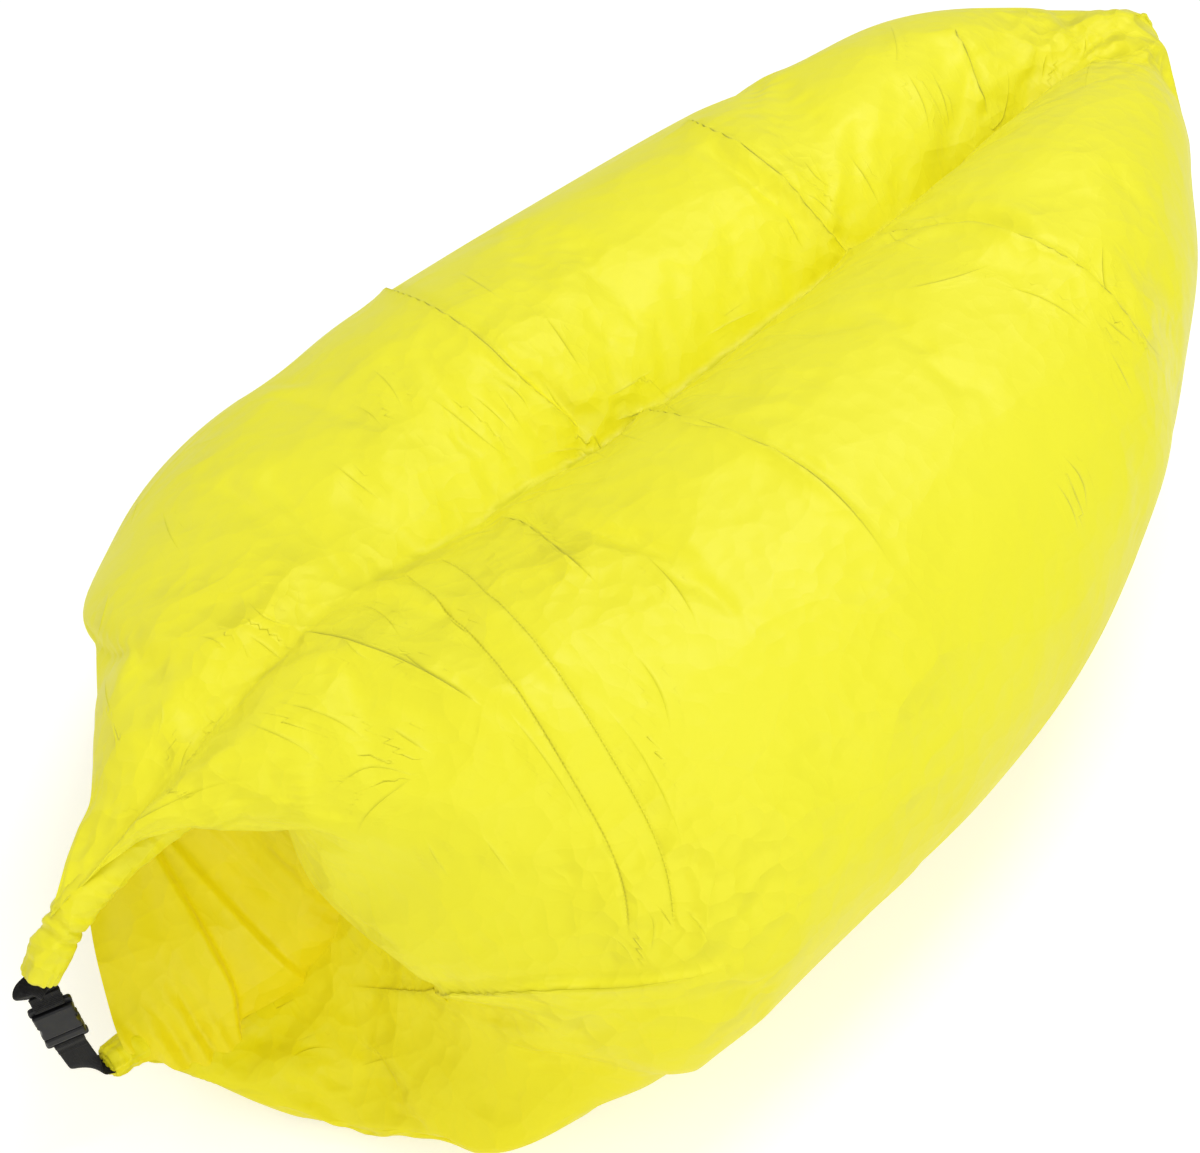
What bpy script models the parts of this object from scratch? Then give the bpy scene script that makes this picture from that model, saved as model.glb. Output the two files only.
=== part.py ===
"""Inflatable air lounger: two air chambers side by side, a rolled mouth bent into a loop, and a buckle.

The lounger lies along Y on the plane z = 0, foot end at -Y, head end at +Y. The middle plane is x = 0,
and the origin is on the floor under the middle of the whole length and width.
"""
import math

import bmesh
import bpy
from mathutils import Matrix, Vector

# Whole object
total_length = 1.610
chamber_width = 0.432
seat_gap = 0.0003
webbing_bulge = 0.0120

# Bag cloth and the film bladder inside it
cloth_thickness = 0.0010
film_thickness = 0.0006
film_clearance = 0.0005
slit_width = 0.0042
floor_sink = 0.010

# Chamber section: how far its round overlaps the middle plane, at the foot, the middle and the head
foot_overlap_share = 0.10
middle_overlap_share = 0.57
head_overlap_share = 0.60

# Chamber ends
foot_depth = 0.185
foot_lean = 0.175
foot_rise = 2.8
wall_lift = 0.018
cheek_share = 0.60
cheek_spread = 0.10
head_depth = 0.430
head_lean = 0.270
head_foot_height = 0.150
head_ear = 0.024

# Shares along the body between its two ends: place, width, height
body_station_shares = (
    (0.0, 0.99, 0.945),
    (0.2, 1.00, 0.975),
    (0.4, 1.00, 0.985),
    (0.6, 0.98, 1.00),
    (0.8, 0.93, 1.03),
    (1.0, 0.85, 1.065),
)

# How the two chambers differ. Foot: extra lean, swell of the lower cheek, hollow beside the loop
side_feet = {
    "right": (0.0, 0.138, 0.040),
    "left": (-0.070, 0.095, -0.020),
}

# How bluntly each chamber starts beside the mouth: powers at even steps round its rim, from its top
foot_bluntness_shares = {
    "right": (0.80, 0.52, 0.26, 0.24, 0.24),
    "left": (0.30, 0.24, 0.24, 0.24, 0.24),
}

# Puff of the cloth beside the roll: place round the rim, spread, share of the depth
front_puff_shares = {
    "right": (0.46, 0.12, 1.0),
    "left": (0.60, 0.16, 0.8),
}
puff_depth = 0.060
puff_rise = 0.030
puff_fade_start = 0.20
puff_fade_end = 0.40

# Valley between the chambers, where the seam pulls the cloth down
valley_depth = 0.060
valley_width = 0.034
foot_valley_share = 0.5
foot_valley_from_share = 0.55
body_valley_run_share = 0.3
head_valley_from_share = 0.3

# Shares for the head's outline: slimming where it begins, and the two powers of its taper
side_head_shares = {
    "right": (0.11, 1.0, 0.54),
    "left": (0.0, 2.0, 0.26),
}
panel_seam_row_share = 0.88
mouth_corner_share = 2.5
wall_crowding = 0.8
foot_row_crowding = 1.4
head_slimming_power = 6
lift_weight = 9.5
bar_round_share = 0.9
slot_round_share = 0.3
tongue_round_share = 0.9
catch_tip_share = 0.9
spring_shoulder_share = 0.12
fold_meet_share = 0.6
fold_shoulder_shares = (0.94, 0.9)
twist_start_share = 0.12
twist_end_share = 0.42
tail_near_share = 1.05
tail_far_share = 1.5

# Outline of a prong's head above its catch: shares of its reach and of its height
prong_head_shares = ((0.97, 0.12), (1.0, 0.30), (0.95, 0.55), (0.78, 0.80), (0.42, 0.96), (0.10, 1.0))

# Rolled mouth, bent into a loop that stands in the middle plane
roll_front = 0.020
loop_reach = 0.262
loop_turn = 0.100
loop_height = 0.236
loop_low = 0.070
upper_arm_droop = 0.058
upper_arm_curl = 3
lower_arm_rise = 0.010
lower_arm_setback = 0.018
roll_width = 0.036
roll_depth = 0.038
upper_bare_arm = 0.044
lower_bare_arm = 0.022

# Heights that follow from the loop: the crest of the chambers over it, and the tip of the head
crest_rise = 0.134
crest_height = loop_low + loop_height + crest_rise
head_tip_height = crest_height

# Stiffener strips in the rolled mouth
strip_width = 0.022
strip_thickness = 0.0010
strip_tail = 0.009
slot_clearance = 0.0003

# Webbing
webbing_width = 0.025
webbing_thickness = 0.0015
webbing_fold_back = 0.016
webbing_bulge_place = -0.002
upper_strap_drop = 0.018
webbing_lower_place = 0.012
lower_strap_rise = 0.014

# Spine seams, where the two chambers are sewn together, and the head seam that closes them
upper_spine_height = 0.009
lower_spine_height = 0.006
spine_thickness = 0.0016
head_seam_depth = 0.010
head_seam_thickness = 0.0060

# Side-release buckle. Sideways, up and through are its own axes; its mouth is where the halves meet
buckle_place = 0.008
buckle_turn = math.radians(20)
buckle_thickness = 0.0115
socket_width = 0.034
socket_length = 0.034
throat_width = 0.0262
cavity_thickness = 0.0066
cavity_depth = 0.0245
window_start = 0.0080
window_length = 0.0142
window_ramp = 0.68
waist_radius = 0.016
waist_depth = 0.0024
frame_width = 0.036
frame_thickness = 0.0040
frame_overlap = 0.0030
bar_slot_height = 0.0033
bar_slot_margin = 0.0006
bar_height = 0.0034
base_length = 0.0100
base_gap = 0.0008
tongue_width = 0.0060
tongue_length = 0.0200
tongue_thickness = 0.0036
prong_place = 0.0106
prong_pivot_drop = 0.0012
prong_knuckle_radius = 0.0021
prong_arm_width = 0.0030
prong_thickness = 0.0058
prong_reach = 0.0173
prong_top = 0.0213
prong_clearance = 0.0003
catch_play = 0.0005
body_round = 0.0022
edge_round = 0.0006
rounding_angle = math.radians(40)
cut_overrun = 0.010

# Mesh resolution
arc_points = 19
foot_rows = 10
body_rows = 8
head_rows = 7
film_wall_points = 3
roll_sides = 14
upper_arm_stations = 4
lower_arm_stations = 3
fine_points = 400
webbing_stations = 46
line_steps = 16
spline_steps = 12
wrap_steps = 6
knuckle_steps = 16
waist_sides = 48
seat_sides = 32


def clear_scene():
    for item in list(bpy.data.objects):
        bpy.data.objects.remove(item, do_unlink=True)


def new_collection(name):
    collection = bpy.data.collections.new(name)
    bpy.context.scene.collection.children.link(collection)
    return collection


def material(name, colour, roughness, metallic=0.0):
    made = bpy.data.materials.new(name)
    made.use_nodes = True
    shader = made.node_tree.nodes["Principled BSDF"]
    shader.inputs["Base Color"].default_value = (*colour, 1.0)
    shader.inputs["Roughness"].default_value = roughness
    shader.inputs["Metallic"].default_value = metallic
    made.diffuse_color = (*colour, 1.0)
    return made


def add_object(name, mesh, finish, parent=None):
    made = bpy.data.objects.new(name, mesh)
    made.data.materials.append(finish)
    parts.objects.link(made)
    made.parent = parent
    return made


def blend(first, second, share):
    return first * (1 - share) + second * share


def eased(share):
    return share * share * (3 - 2 * share)


def eased_between(low, high, value):
    """Smooth rise from 0 at the low value to 1 at the high one."""
    return eased(min(1.0, max(0.0, (value - low) / (high - low))))


def even_steps(values, place):
    """Value at a place along evenly spaced values, with straight steps between them."""
    step = place * (len(values) - 1)
    low = min(int(step), len(values) - 2)
    return blend(values[low], values[low + 1], step - low)


def along(distance):
    """Place on Y of a point at this distance behind the loop's front; the webbing bulges out before it."""
    return distance + webbing_bulge - total_length / 2


def from_table(table, place, column):
    """Value at a place along a table of shares, with straight steps between its rows."""
    for low, high in zip(table, table[1:]):
        if place <= high[0]:
            share = (place - low[0]) / (high[0] - low[0])
            return blend(low[column], high[column], share)
    return table[-1][column]


def resample(points, count):
    """Points at equal steps along a line through the given ones."""
    lengths = [0.0]
    for a, b in zip(points, points[1:]):
        lengths.append(lengths[-1] + (b - a).length)
    result = []
    segment = 0
    for i in range(count):
        target = lengths[-1] * i / (count - 1)
        while segment < len(points) - 2 and lengths[segment + 1] < target:
            segment += 1
        span = lengths[segment + 1] - lengths[segment]
        share = (target - lengths[segment]) / span
        result.append(points[segment].lerp(points[segment + 1], share))
    return result


# The loop that the rolled mouth makes, as a line in the middle plane

def loop_line():
    """Centre line of the roll: upper arm from its front, round the back, to the lower arm's front."""
    turn_centre = loop_reach - loop_turn
    upper = loop_low + loop_height
    middle = loop_low + loop_height / 2
    steps = line_steps
    points = []
    for i in range(steps):
        share = i / steps
        y = blend(roll_front, turn_centre, share)
        points.append(Vector((0, along(y), upper - upper_arm_droop * (1 - share) ** upper_arm_curl)))
    for i in range(steps):
        angle = math.pi * i / steps
        y = turn_centre + loop_turn * math.sin(angle)
        points.append(Vector((0, along(y), middle + loop_height / 2 * math.cos(angle))))
    for i in range(steps + 1):
        share = i / steps
        y = blend(turn_centre, roll_front + lower_arm_setback, share)
        points.append(Vector((0, along(y), loop_low + lower_arm_rise * share ** 2)))
    return points


def line_length(points):
    return sum((b - a).length for a, b in zip(points, points[1:]))


def tangent_at(points, i):
    ahead = points[min(i + 1, len(points) - 1)]
    behind = points[max(i - 1, 0)]
    return (ahead - behind).normalized()


def part_of(points, start, end, count):
    """Equally spaced points on a line between two lengths along it."""
    fine = resample(points, fine_points)
    step = line_length(points) / (fine_points - 1)
    return resample(fine[round(start / step):round(end / step) + 1], count)


def roll_stations():
    """Points along the roll's centre; the middle ones are those where the chambers' cloth leaves it."""
    line = loop_line()
    whole = line_length(line)
    upper = part_of(line, 0.0, upper_bare_arm, upper_arm_stations)
    middle = part_of(line, upper_bare_arm, whole - lower_bare_arm, arc_points)
    lower = part_of(line, whole - lower_bare_arm, whole, lower_arm_stations)
    return upper[:-1] + middle + lower[1:]


def mouth_rim():
    """Where the chambers' cloth leaves the roll: a seat gap outside its outer rim."""
    line = roll_stations()
    rim = []
    for i, point in enumerate(line):
        tangent = tangent_at(line, i)
        rim.append(point + Vector((0, -tangent.z, tangent.y)) * (roll_depth / 2 + seat_gap))
    return rim[upper_arm_stations - 1:upper_arm_stations - 1 + arc_points]


# Chambers

def section_arc(width, top, overlap):
    """(x, z) points of one chamber's round outer side, from beside the middle plane's top to its bottom.

    The round sinks a little into the floor plane and is cut flat there, where the bag lies on it.
    """
    radius = width / (1 + overlap)
    start = math.acos(slit_width / radius - overlap)
    half = (top + floor_sink) / 2
    points = []
    for i in range(arc_points):
        angle = blend(start, -start, i / (arc_points - 1))
        height = half - floor_sink + half * math.sin(angle)
        points.append((radius * (overlap + math.cos(angle)), max(height, 0.0)))
    return points


def sink_valley(arc, share):
    """The arc with its upper half lowered towards the middle plane."""
    upper = arc_points // 2
    sunk = [(x, z - share * valley_depth * math.exp(-x / valley_width)) for x, z in arc[:upper]]
    return sunk + arc[upper:]


def lean_level(height, top):
    """How far over the middle of the section's height a point lies, from minus a half to a half."""
    return (height - top / 2) / top


def station(place, side):
    """Width, height and overlap of the section at a share of the body's length."""
    slim = 1 - side_head_shares[side][0] * place ** head_slimming_power
    width = chamber_width * slim * from_table(body_station_shares, place, 1)
    top = crest_height * from_table(body_station_shares, place, 2)
    return width, top, blend(middle_overlap_share, head_overlap_share, place)


def foot_start():
    return loop_reach + roll_depth / 2


def body_start():
    return foot_start() + foot_depth


def body_end():
    return total_length - webbing_bulge - head_seam_depth - seat_gap - head_ear - head_depth


def front_puff(place, out, share, side):
    """How far the cloth beside the roll bulges forward, clear of the roll itself."""
    middle, spread, height = front_puff_shares[side]
    height *= math.exp(-((place - middle) / spread) ** 2)
    clear = 1 - math.exp(-max(0.0, out - roll_width / 2) / puff_rise)
    fade = 1 - eased_between(puff_fade_start, puff_fade_end, out)
    return puff_depth * height * clear * fade * (1 - share) ** 2


def foot_row(share, side):
    """A loop between the roll, at share 0, and the full section, at share 1."""
    extra_lean, bulge, hollow = side_feet[side]
    width, top, overlap = station(0.0, side)
    full = section_arc(width, top, overlap)
    flared = section_arc(width, top, foot_overlap_share)
    arc = [(blend(a, c, share ** 2), blend(b, d, share ** 2)) for (a, b), (c, d) in zip(flared, full)]
    depth = foot_valley_share * eased_between(foot_valley_from_share, 1, share)
    arc = sink_valley(arc, depth)
    resting = sink_valley(full, foot_valley_share)
    rise = 1 - (1 - share) ** foot_rise
    swell = math.sin(math.pi * share)
    low_z, high_z = full[-1][1], sink_valley(full, depth)[0][1]
    outer = []
    wall = []
    for i, point in enumerate(mouth_rim()):
        place = i / (arc_points - 1)
        x, z = arc[i]
        level = lean_level(resting[i][1], top)
        section_y = along(body_start() + (foot_lean + extra_lean * x / width) * level)
        forward = bulge * max(0.0, min(1.0, -2 * level)) * math.sqrt(x / width)
        back = hollow * math.exp(-((place - cheek_share) / cheek_spread) ** 2)
        spread = (1 - (1 - share) ** 2) ** even_steps(foot_bluntness_shares[side], place)
        out = blend(slit_width, x, spread)
        y = blend(point.y, section_y, share) + swell * (back - forward) - front_puff(place, out, share, side)
        outer.append(Vector((out, y, blend(point.z, z, rise))))
        wall_z = blend(high_z, low_z, wall_share(place))
        wall_y = along(body_start() + foot_lean * lean_level(wall_z, top))
        lift = wall_lift * math.sin(math.pi * math.sqrt(share)) * place * (1 - place) ** 3 * lift_weight
        wall.append(Vector((0.0, blend(point.y, wall_y, share), blend(point.z, wall_z, rise) + lift)))
    wall[0].yz = outer[0].yz
    wall[-1].yz = outer[-1].yz
    return outer + wall[::-1]


def body_row(place, side):
    """A loop round the full section at a share of the body's length."""
    extra_lean = side_feet[side][0] * (1 - place) ** 2
    width, top, overlap = station(place, side)
    depth = blend(foot_valley_share, 1, eased_between(0, body_valley_run_share, place))
    arc = sink_valley(section_arc(width, top, overlap), depth)
    y = blend(body_start(), body_end(), place)
    lean = foot_lean * (1 - place) ** 2 + head_lean * place ** 2
    loop = arc + wall_heights(arc)
    return [Vector((x, along(y + (lean + extra_lean * x / width) * lean_level(z, top)), z)) for x, z in loop]


def wall_heights(arc):
    low, high = arc[-1][1], arc[0][1]
    places = [1 - i / (arc_points - 1) for i in range(arc_points)]
    return [(0.0, blend(high, low, wall_share(place))) for place in places]


def wall_share(place):
    """How far down the wall a point lies; the points crowd at its ends, more so at its foot."""
    return eased(place ** wall_crowding)


def head_row(share, side):
    """A loop between the full section, at share 0, and the closing seam, at share 1."""
    width, top, overlap = station(1.0, side)
    depth = 1 - eased_between(head_valley_from_share, 1, share)
    arc = sink_valley(section_arc(width, top, overlap), depth)
    _, turn, taper = side_head_shares[side]
    narrowing = (1 - share ** turn) ** taper
    closing = share ** 2
    points = []
    for i, (x, z) in enumerate(arc + wall_heights(arc)):
        down = i / (arc_points - 1) if i < arc_points else 2 - (i - 1) / (arc_points - 1)
        level = lean_level(z, top)
        end_z = blend(head_tip_height, head_foot_height, down)
        y = body_end() + head_depth * share + head_lean * level * (1 - closing)
        y += head_ear * closing * (1 - down) ** 2
        x = blend(slit_width, x, narrowing) if i < arc_points else 0.0
        points.append(Vector((x, along(y), blend(z, end_z, closing))))
    return points


def chamber_rows(side):
    """All loops of a chamber's outer face, from the roll to the head seam, as if it lay at +X."""
    rows = [foot_row((i / foot_rows) ** foot_row_crowding, side) for i in range(foot_rows)]
    rows += [body_row(i / body_rows, side) for i in range(body_rows)]
    rows += [head_row(math.sin(math.pi / 2 * i / head_rows), side) for i in range(head_rows + 1)]
    return [[point + Vector((seat_gap / 2, 0, 0)) for point in row] for row in rows]


def seam_row():
    """The row at which the foot panel of the cloth meets the main panel."""
    return round(foot_rows * panel_seam_row_share)


def loft(work, rows, close_start=False, close_end=False):
    """Triangles between neighbouring loops of points, with an end face where asked."""
    rings = [[work.verts.new(point) for point in row] for row in rows]
    for low, high in zip(rings, rings[1:]):
        join_rings(work, low, high)
    if close_start:
        cap_ring(work, rings[0][::-1])
    if close_end:
        cap_ring(work, rings[-1])
    return rings


def cap_ring(work, ring):
    """Closes a ring of an even number of points with a ladder of faces from its first edge to its middle."""
    last = len(ring) - 1
    for i in range(len(ring) // 2 - 1):
        work.faces.new((ring[i], ring[i + 1], ring[last - i - 1]))
        work.faces.new((ring[i], ring[last - i - 1], ring[last - i]))


def join_rings(work, low, high):
    count = len(low)
    for i in range(count):
        k = (i + 1) % count
        work.faces.new((low[i], low[k], high[k]))
        work.faces.new((low[i], high[k], high[i]))


def loft_mesh(name, rows):
    """A solid lofted through loops, closed at both ends."""
    mesh = bpy.data.meshes.new(name)
    work = bmesh.new()
    loft(work, rows, close_start=True, close_end=True)
    bmesh.ops.recalc_face_normals(work, faces=work.faces)
    work.to_mesh(mesh)
    work.free()
    return mesh


def skin_rows(depth, side):
    """A chamber's loops, moved inwards from its outer face by an even depth."""
    rows = chamber_rows(side)
    if not depth:
        return rows
    work = bmesh.new()
    loft(work, rows, close_end=True)
    work.normal_update()
    work.verts.ensure_lookup_table()
    count = len(rows[0])
    moved = [vert.co - vert.normal * depth * vert.calc_shell_factor() for vert in work.verts]
    work.free()
    mouth = [point + Vector((depth if point.x < depth else -depth, 0, 0)) for point in rows[0]]
    last = arc_points - 1
    for i, near in ((0, 1), (last, last - 1), (last + 1, last + 2), (count - 1, count - 2)):
        mouth[i] += (rows[0][near] - rows[0][i]).normalized() * depth * mouth_corner_share
    return [mouth] + [moved[i * count:(i + 1) * count] for i in range(1, len(rows))]


def pulled(row, other, distance):
    """A loop moved a distance towards its neighbour."""
    return [a + (b - a).normalized() * distance for a, b in zip(row, other)]


def shell_object(name, side, outer, inner, finish, capped):
    """A sheet between an outer and an inner surface, open at both ends or closed at the last one."""
    mesh = bpy.data.meshes.new(name)
    work = bmesh.new()
    first = loft(work, outer, close_end=capped)
    second = loft(work, inner, close_end=capped)
    join_rings(work, first[0], second[0])
    if not capped:
        join_rings(work, first[-1], second[-1])
    if side == "left":
        bmesh.ops.transform(work, matrix=Matrix.Scale(-1, 4, Vector((1, 0, 0))), verts=work.verts)
    bmesh.ops.recalc_face_normals(work, faces=work.faces)
    work.to_mesh(mesh)
    work.free()
    made = add_object(side + "_" + name, mesh, finish)
    made.data.shade_smooth()
    return made


def chamber_panels(side):
    """The cloth of one chamber: a short foot panel sewn to the long main panel."""
    outer = skin_rows(0.0, side)
    inner = skin_rows(cloth_thickness, side)
    split = seam_row()
    foot = [rows[:split] + [pulled(rows[split], rows[split - 1], seat_gap / 2)] for rows in (outer, inner)]
    main = []
    for rows in (outer, inner):
        main.append([pulled(rows[split], rows[split + 1], seat_gap / 2)] + rows[split + 1:])
    shell_object("foot_panel", side, *foot, cloth, False)
    shell_object("main_panel", side, *main, cloth, True)


def film_bladder(side):
    """The air-tight film in one chamber, just inside the cloth, open towards the mouth."""
    step = (arc_points - 1) // (film_wall_points - 1)
    surfaces = []
    for depth in (cloth_thickness + film_clearance, cloth_thickness + film_clearance + film_thickness):
        rows = skin_rows(depth, side)[seam_row() + 1:-2]
        surfaces.append([row[:arc_points] + row[arc_points::step] for row in rows])
    shell_object("air_bladder", side, *surfaces, film, True)


# Seams

def beside(points, distance, up):
    """Points moved square to a line in the middle plane, upwards or downwards."""
    result = []
    for i, point in enumerate(points):
        tangent = tangent_at(points, i)
        square = Vector((0, -tangent.z, tangent.y))
        result.append(point + square * distance * up)
    return result


def standing_strip(name, line, height, up, finish):
    """A thin strip standing on a line in the middle plane, a seat gap away from it."""
    near = beside(line, seat_gap, up)
    far = beside(line, seat_gap + height, up)
    half = Vector((spine_thickness / 2, 0, 0))
    rows = [[a - half, a + half, b + half, b - half] for a, b in zip(near, far)]
    return add_object(name, loft_mesh(name, rows), finish)


def middle_point(row, index):
    return Vector((0, row[index].y, row[index].z))


def spine_seams():
    rows = chamber_rows("right")
    standing_strip("upper_spine_seam", [middle_point(row, 0) for row in rows], upper_spine_height, 1, cloth)
    low = [middle_point(row, arc_points - 1) for row in rows[foot_rows:]]
    standing_strip("lower_spine_seam", low, lower_spine_height, -1, cloth)


def head_seam():
    """The bound edge that closes both chambers, standing at the head end."""
    line = chamber_rows("right")[-1][arc_points:]
    half = head_seam_thickness / 2
    rows = []
    for point in line:
        near = point.y + seat_gap
        far = near + head_seam_depth
        corners = ((-half, near), (half, near), (half, far), (-half, far))
        rows.append([Vector((x, y, point.z)) for x, y in corners])
    add_object("head_seam", loft_mesh("head_seam", rows), cloth)


# Rolled mouth

def roll_frames(line):
    """Centre, in-plane square direction and tangent at each point of a line in the middle plane."""
    frames = []
    for i, point in enumerate(line):
        tangent = tangent_at(line, i)
        frames.append((point, Vector((0, -tangent.z, tangent.y)), tangent))
    return frames


def swept(frames, outline):
    """Loops made by moving an (x, square) outline along frames."""
    across = Vector((1, 0, 0))
    return [[point + across * x + square * s for x, s in outline] for point, square, _ in frames]


def longer(line, start, end):
    """The line with a straight stretch added at each end."""
    first = line[0] + (line[0] - line[1]).normalized() * start
    last = line[-1] + (line[-1] - line[-2]).normalized() * end
    return [first] + line + [last]


def oval(width, depth, count):
    angles = [2 * math.pi * i / count for i in range(count)]
    return [(width / 2 * math.cos(a), depth / 2 * math.sin(a)) for a in angles]


def rectangle(width, depth, centre=0.0):
    half = width / 2
    low, high = centre - depth / 2, centre + depth / 2
    return [(-half, low), (half, low), (half, high), (-half, high)]


def strip_places():
    """Each strip lies on one side of the webbing's end, which they hold between them."""
    place = webbing_thickness / 2 + seat_gap + strip_thickness / 2
    return place, -place


def subtract(target, cutter):
    cut = target.modifiers.new("cut " + cutter.name, "BOOLEAN")
    cut.operation = "DIFFERENCE"
    cut.solver = "EXACT"
    cut.object = cutter


def join(target, other):
    united = target.modifiers.new("join " + other.name, "BOOLEAN")
    united.operation = "UNION"
    united.solver = "EXACT"
    united.object = other


def round_edges(target, radius, segments=2, name="edges"):
    rounding = target.modifiers.new(name, "BEVEL")
    rounding.width = radius
    rounding.segments = segments
    rounding.limit_method = "ANGLE"
    rounding.angle_limit = rounding_angle


def add_cutter(name, mesh, parent=None):
    made = bpy.data.objects.new(name, mesh)
    cutters.objects.link(made)
    made.hide_render = True
    made.display_type = "WIRE"
    made.parent = parent
    return made


def mouth_roll():
    line = roll_stations()
    section = oval(roll_width, roll_depth, roll_sides)
    rows = swept(roll_frames(line), section)
    roll = add_object("mouth_roll", loft_mesh("mouth_roll", rows), cloth)
    long_line = longer(line, cut_overrun, cut_overrun)
    mesh = bpy.data.meshes.new("slots")
    work = bmesh.new()
    for place in strip_places():
        slot = rectangle(strip_width + 2 * slot_clearance, strip_thickness + 2 * slot_clearance, place)
        loft(work, swept(roll_frames(long_line), slot), close_start=True, close_end=True)
    bmesh.ops.recalc_face_normals(work, faces=work.faces)
    work.to_mesh(mesh)
    work.free()
    subtract(roll, add_cutter("strip_slots", mesh))
    roll.data.shade_smooth()


def mouth_strips():
    line = longer(roll_stations(), strip_tail, strip_tail)
    for name, place in zip(("outer_mouth_strip", "inner_mouth_strip"), strip_places()):
        rows = swept(roll_frames(line), rectangle(strip_width, strip_thickness, place))
        add_object(name, loft_mesh(name, rows), strip_plastic)


# Webbing

def smooth_line(points, count):
    """A smooth curve through the given points, at equal steps."""
    ends = [points[0] * 2 - points[1]] + points + [points[-1] * 2 - points[-2]]
    fine = []
    for a, b, c, d in zip(ends, ends[1:], ends[2:], ends[3:]):
        for i in range(spline_steps):
            t = i / spline_steps
            bend = (-a + c) * t + (a * 2 - b * 5 + c * 4 - d) * t ** 2 + (-a + b * 3 - c * 3 + d) * t ** 3
            fine.append(b + bend / 2)
    fine.append(points[-1])
    return resample(fine, count)


def buckle_axes():
    sideways = Vector((math.sin(buckle_turn), math.cos(buckle_turn), 0))
    through = Vector((math.cos(buckle_turn), -math.sin(buckle_turn), 0))
    return sideways, Vector((0, 0, 1)), through


def buckle_origin():
    """The buckle's mouth, half-way up between the roll's two ends."""
    line = loop_line()
    return Vector((0, along(buckle_place), (line[0].z + line[-1].z) / 2))


def socket_bar_height():
    return socket_length + bar_slot_height + bar_height / 2


def base_bar_height():
    return -base_gap - base_length - bar_slot_height - bar_height / 2


def wrap_points(bar, way):
    """The webbing's line round a bar, from the end it hangs by to its sewn-back end.

    way is 1 where the webbing leaves upwards and -1 where it leaves downwards.
    """
    _, up, through = buckle_axes()
    centre = buckle_origin() + up * bar
    wrap = math.hypot(frame_thickness, bar_height) / 2 + seat_gap + webbing_thickness / 2
    ply = webbing_thickness / 2 + seat_gap / 2
    meet = webbing_fold_back * fold_meet_share
    out, rise = [wrap * share for share in fold_shoulder_shares]
    places = [(-ply, webbing_fold_back + ply), (-ply, meet), (-out, rise), (-wrap, 0.0)]
    for i in range(1, wrap_steps):
        angle = math.pi * i / wrap_steps
        places.append((-wrap * math.cos(angle), -wrap * math.sin(angle)))
    places += [(wrap, 0.0), (out, rise), (ply, meet), (ply, webbing_fold_back)]
    return [centre + through * a + up * b * way for a, b in places]


def webbing(name, root, bar, way):
    """One webbing tab, from between the strips' tails, round its bar and sewn back on itself."""
    sideways, _, _ = buckle_axes()
    wrap = wrap_points(bar, way)
    line = smooth_line(root + wrap, webbing_stations)
    reach = line_length(line)
    rows = []
    run = 0.0
    for i, point in enumerate(line):
        if i:
            run += (point - line[i - 1]).length
        turn = eased_between(twist_start_share, twist_end_share, run / reach)
        half = Vector((1, 0, 0)).slerp(sideways, turn)
        tangent = tangent_at(line, i)
        across = (half - tangent * half.dot(tangent)).normalized() * webbing_width / 2
        thick = across.cross(tangent).normalized() * webbing_thickness / 2
        low, high = point - thick, point + thick
        rows.append([low - across, low + across, high + across, high - across])
    add_object(name, loft_mesh(name, rows), webbing_cloth)


def webbing_root(end, inner):
    """Points by which a tab leaves the roll's end, between the strips' tails."""
    out = (end - inner).normalized()
    start = end + out * seat_gap
    return [start, start + out * strip_tail * tail_near_share, start + out * strip_tail * tail_far_share]


def webbing_tabs():
    line = roll_stations()
    bulge = Vector((0, along(webbing_bulge_place), line[0].z - upper_strap_drop))
    webbing("socket_webbing", webbing_root(line[0], line[1]) + [bulge], socket_bar_height(), 1)
    turn = Vector((0, along(webbing_lower_place), line[-1].z + lower_strap_rise))
    webbing("prong_webbing", webbing_root(line[-1], line[-2]) + [turn], base_bar_height(), -1)


# Buckle

def plate(name, outline, thickness):
    """A flat mesh of this thickness from one closed outline."""
    mesh = bpy.data.meshes.new(name)
    work = bmesh.new()
    low = [work.verts.new((x, y, -thickness / 2)) for x, y in outline]
    high = [work.verts.new((x, y, thickness / 2)) for x, y in outline]
    work.faces.new(low[::-1])
    work.faces.new(high)
    for i in range(len(outline)):
        k = (i + 1) % len(outline)
        work.faces.new((low[i], low[k], high[k], high[i]))
    bmesh.ops.recalc_face_normals(work, faces=work.faces)
    work.to_mesh(mesh)
    work.free()
    return mesh


def rounded_outline(left, right, low, high, radius, steps=4):
    points = []
    corners = ((right, high, 0), (left, high, 1), (left, low, 2), (right, low, 3))
    for x, y, quarter in corners:
        centre_x = x - radius if x == right else x + radius
        centre_y = y - radius if y == high else y + radius
        for i in range(steps + 1):
            angle = math.pi / 2 * (quarter + i / steps)
            points.append((centre_x + radius * math.cos(angle), centre_y + radius * math.sin(angle)))
    return points


def block_mesh(name, width, length, thickness, centre):
    mesh = bpy.data.meshes.new(name)
    work = bmesh.new()
    bmesh.ops.create_cube(work, size=1)
    bmesh.ops.scale(work, vec=(width, length, thickness), verts=work.verts)
    bmesh.ops.translate(work, vec=centre, verts=work.verts)
    work.to_mesh(mesh)
    work.free()
    return mesh


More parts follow.
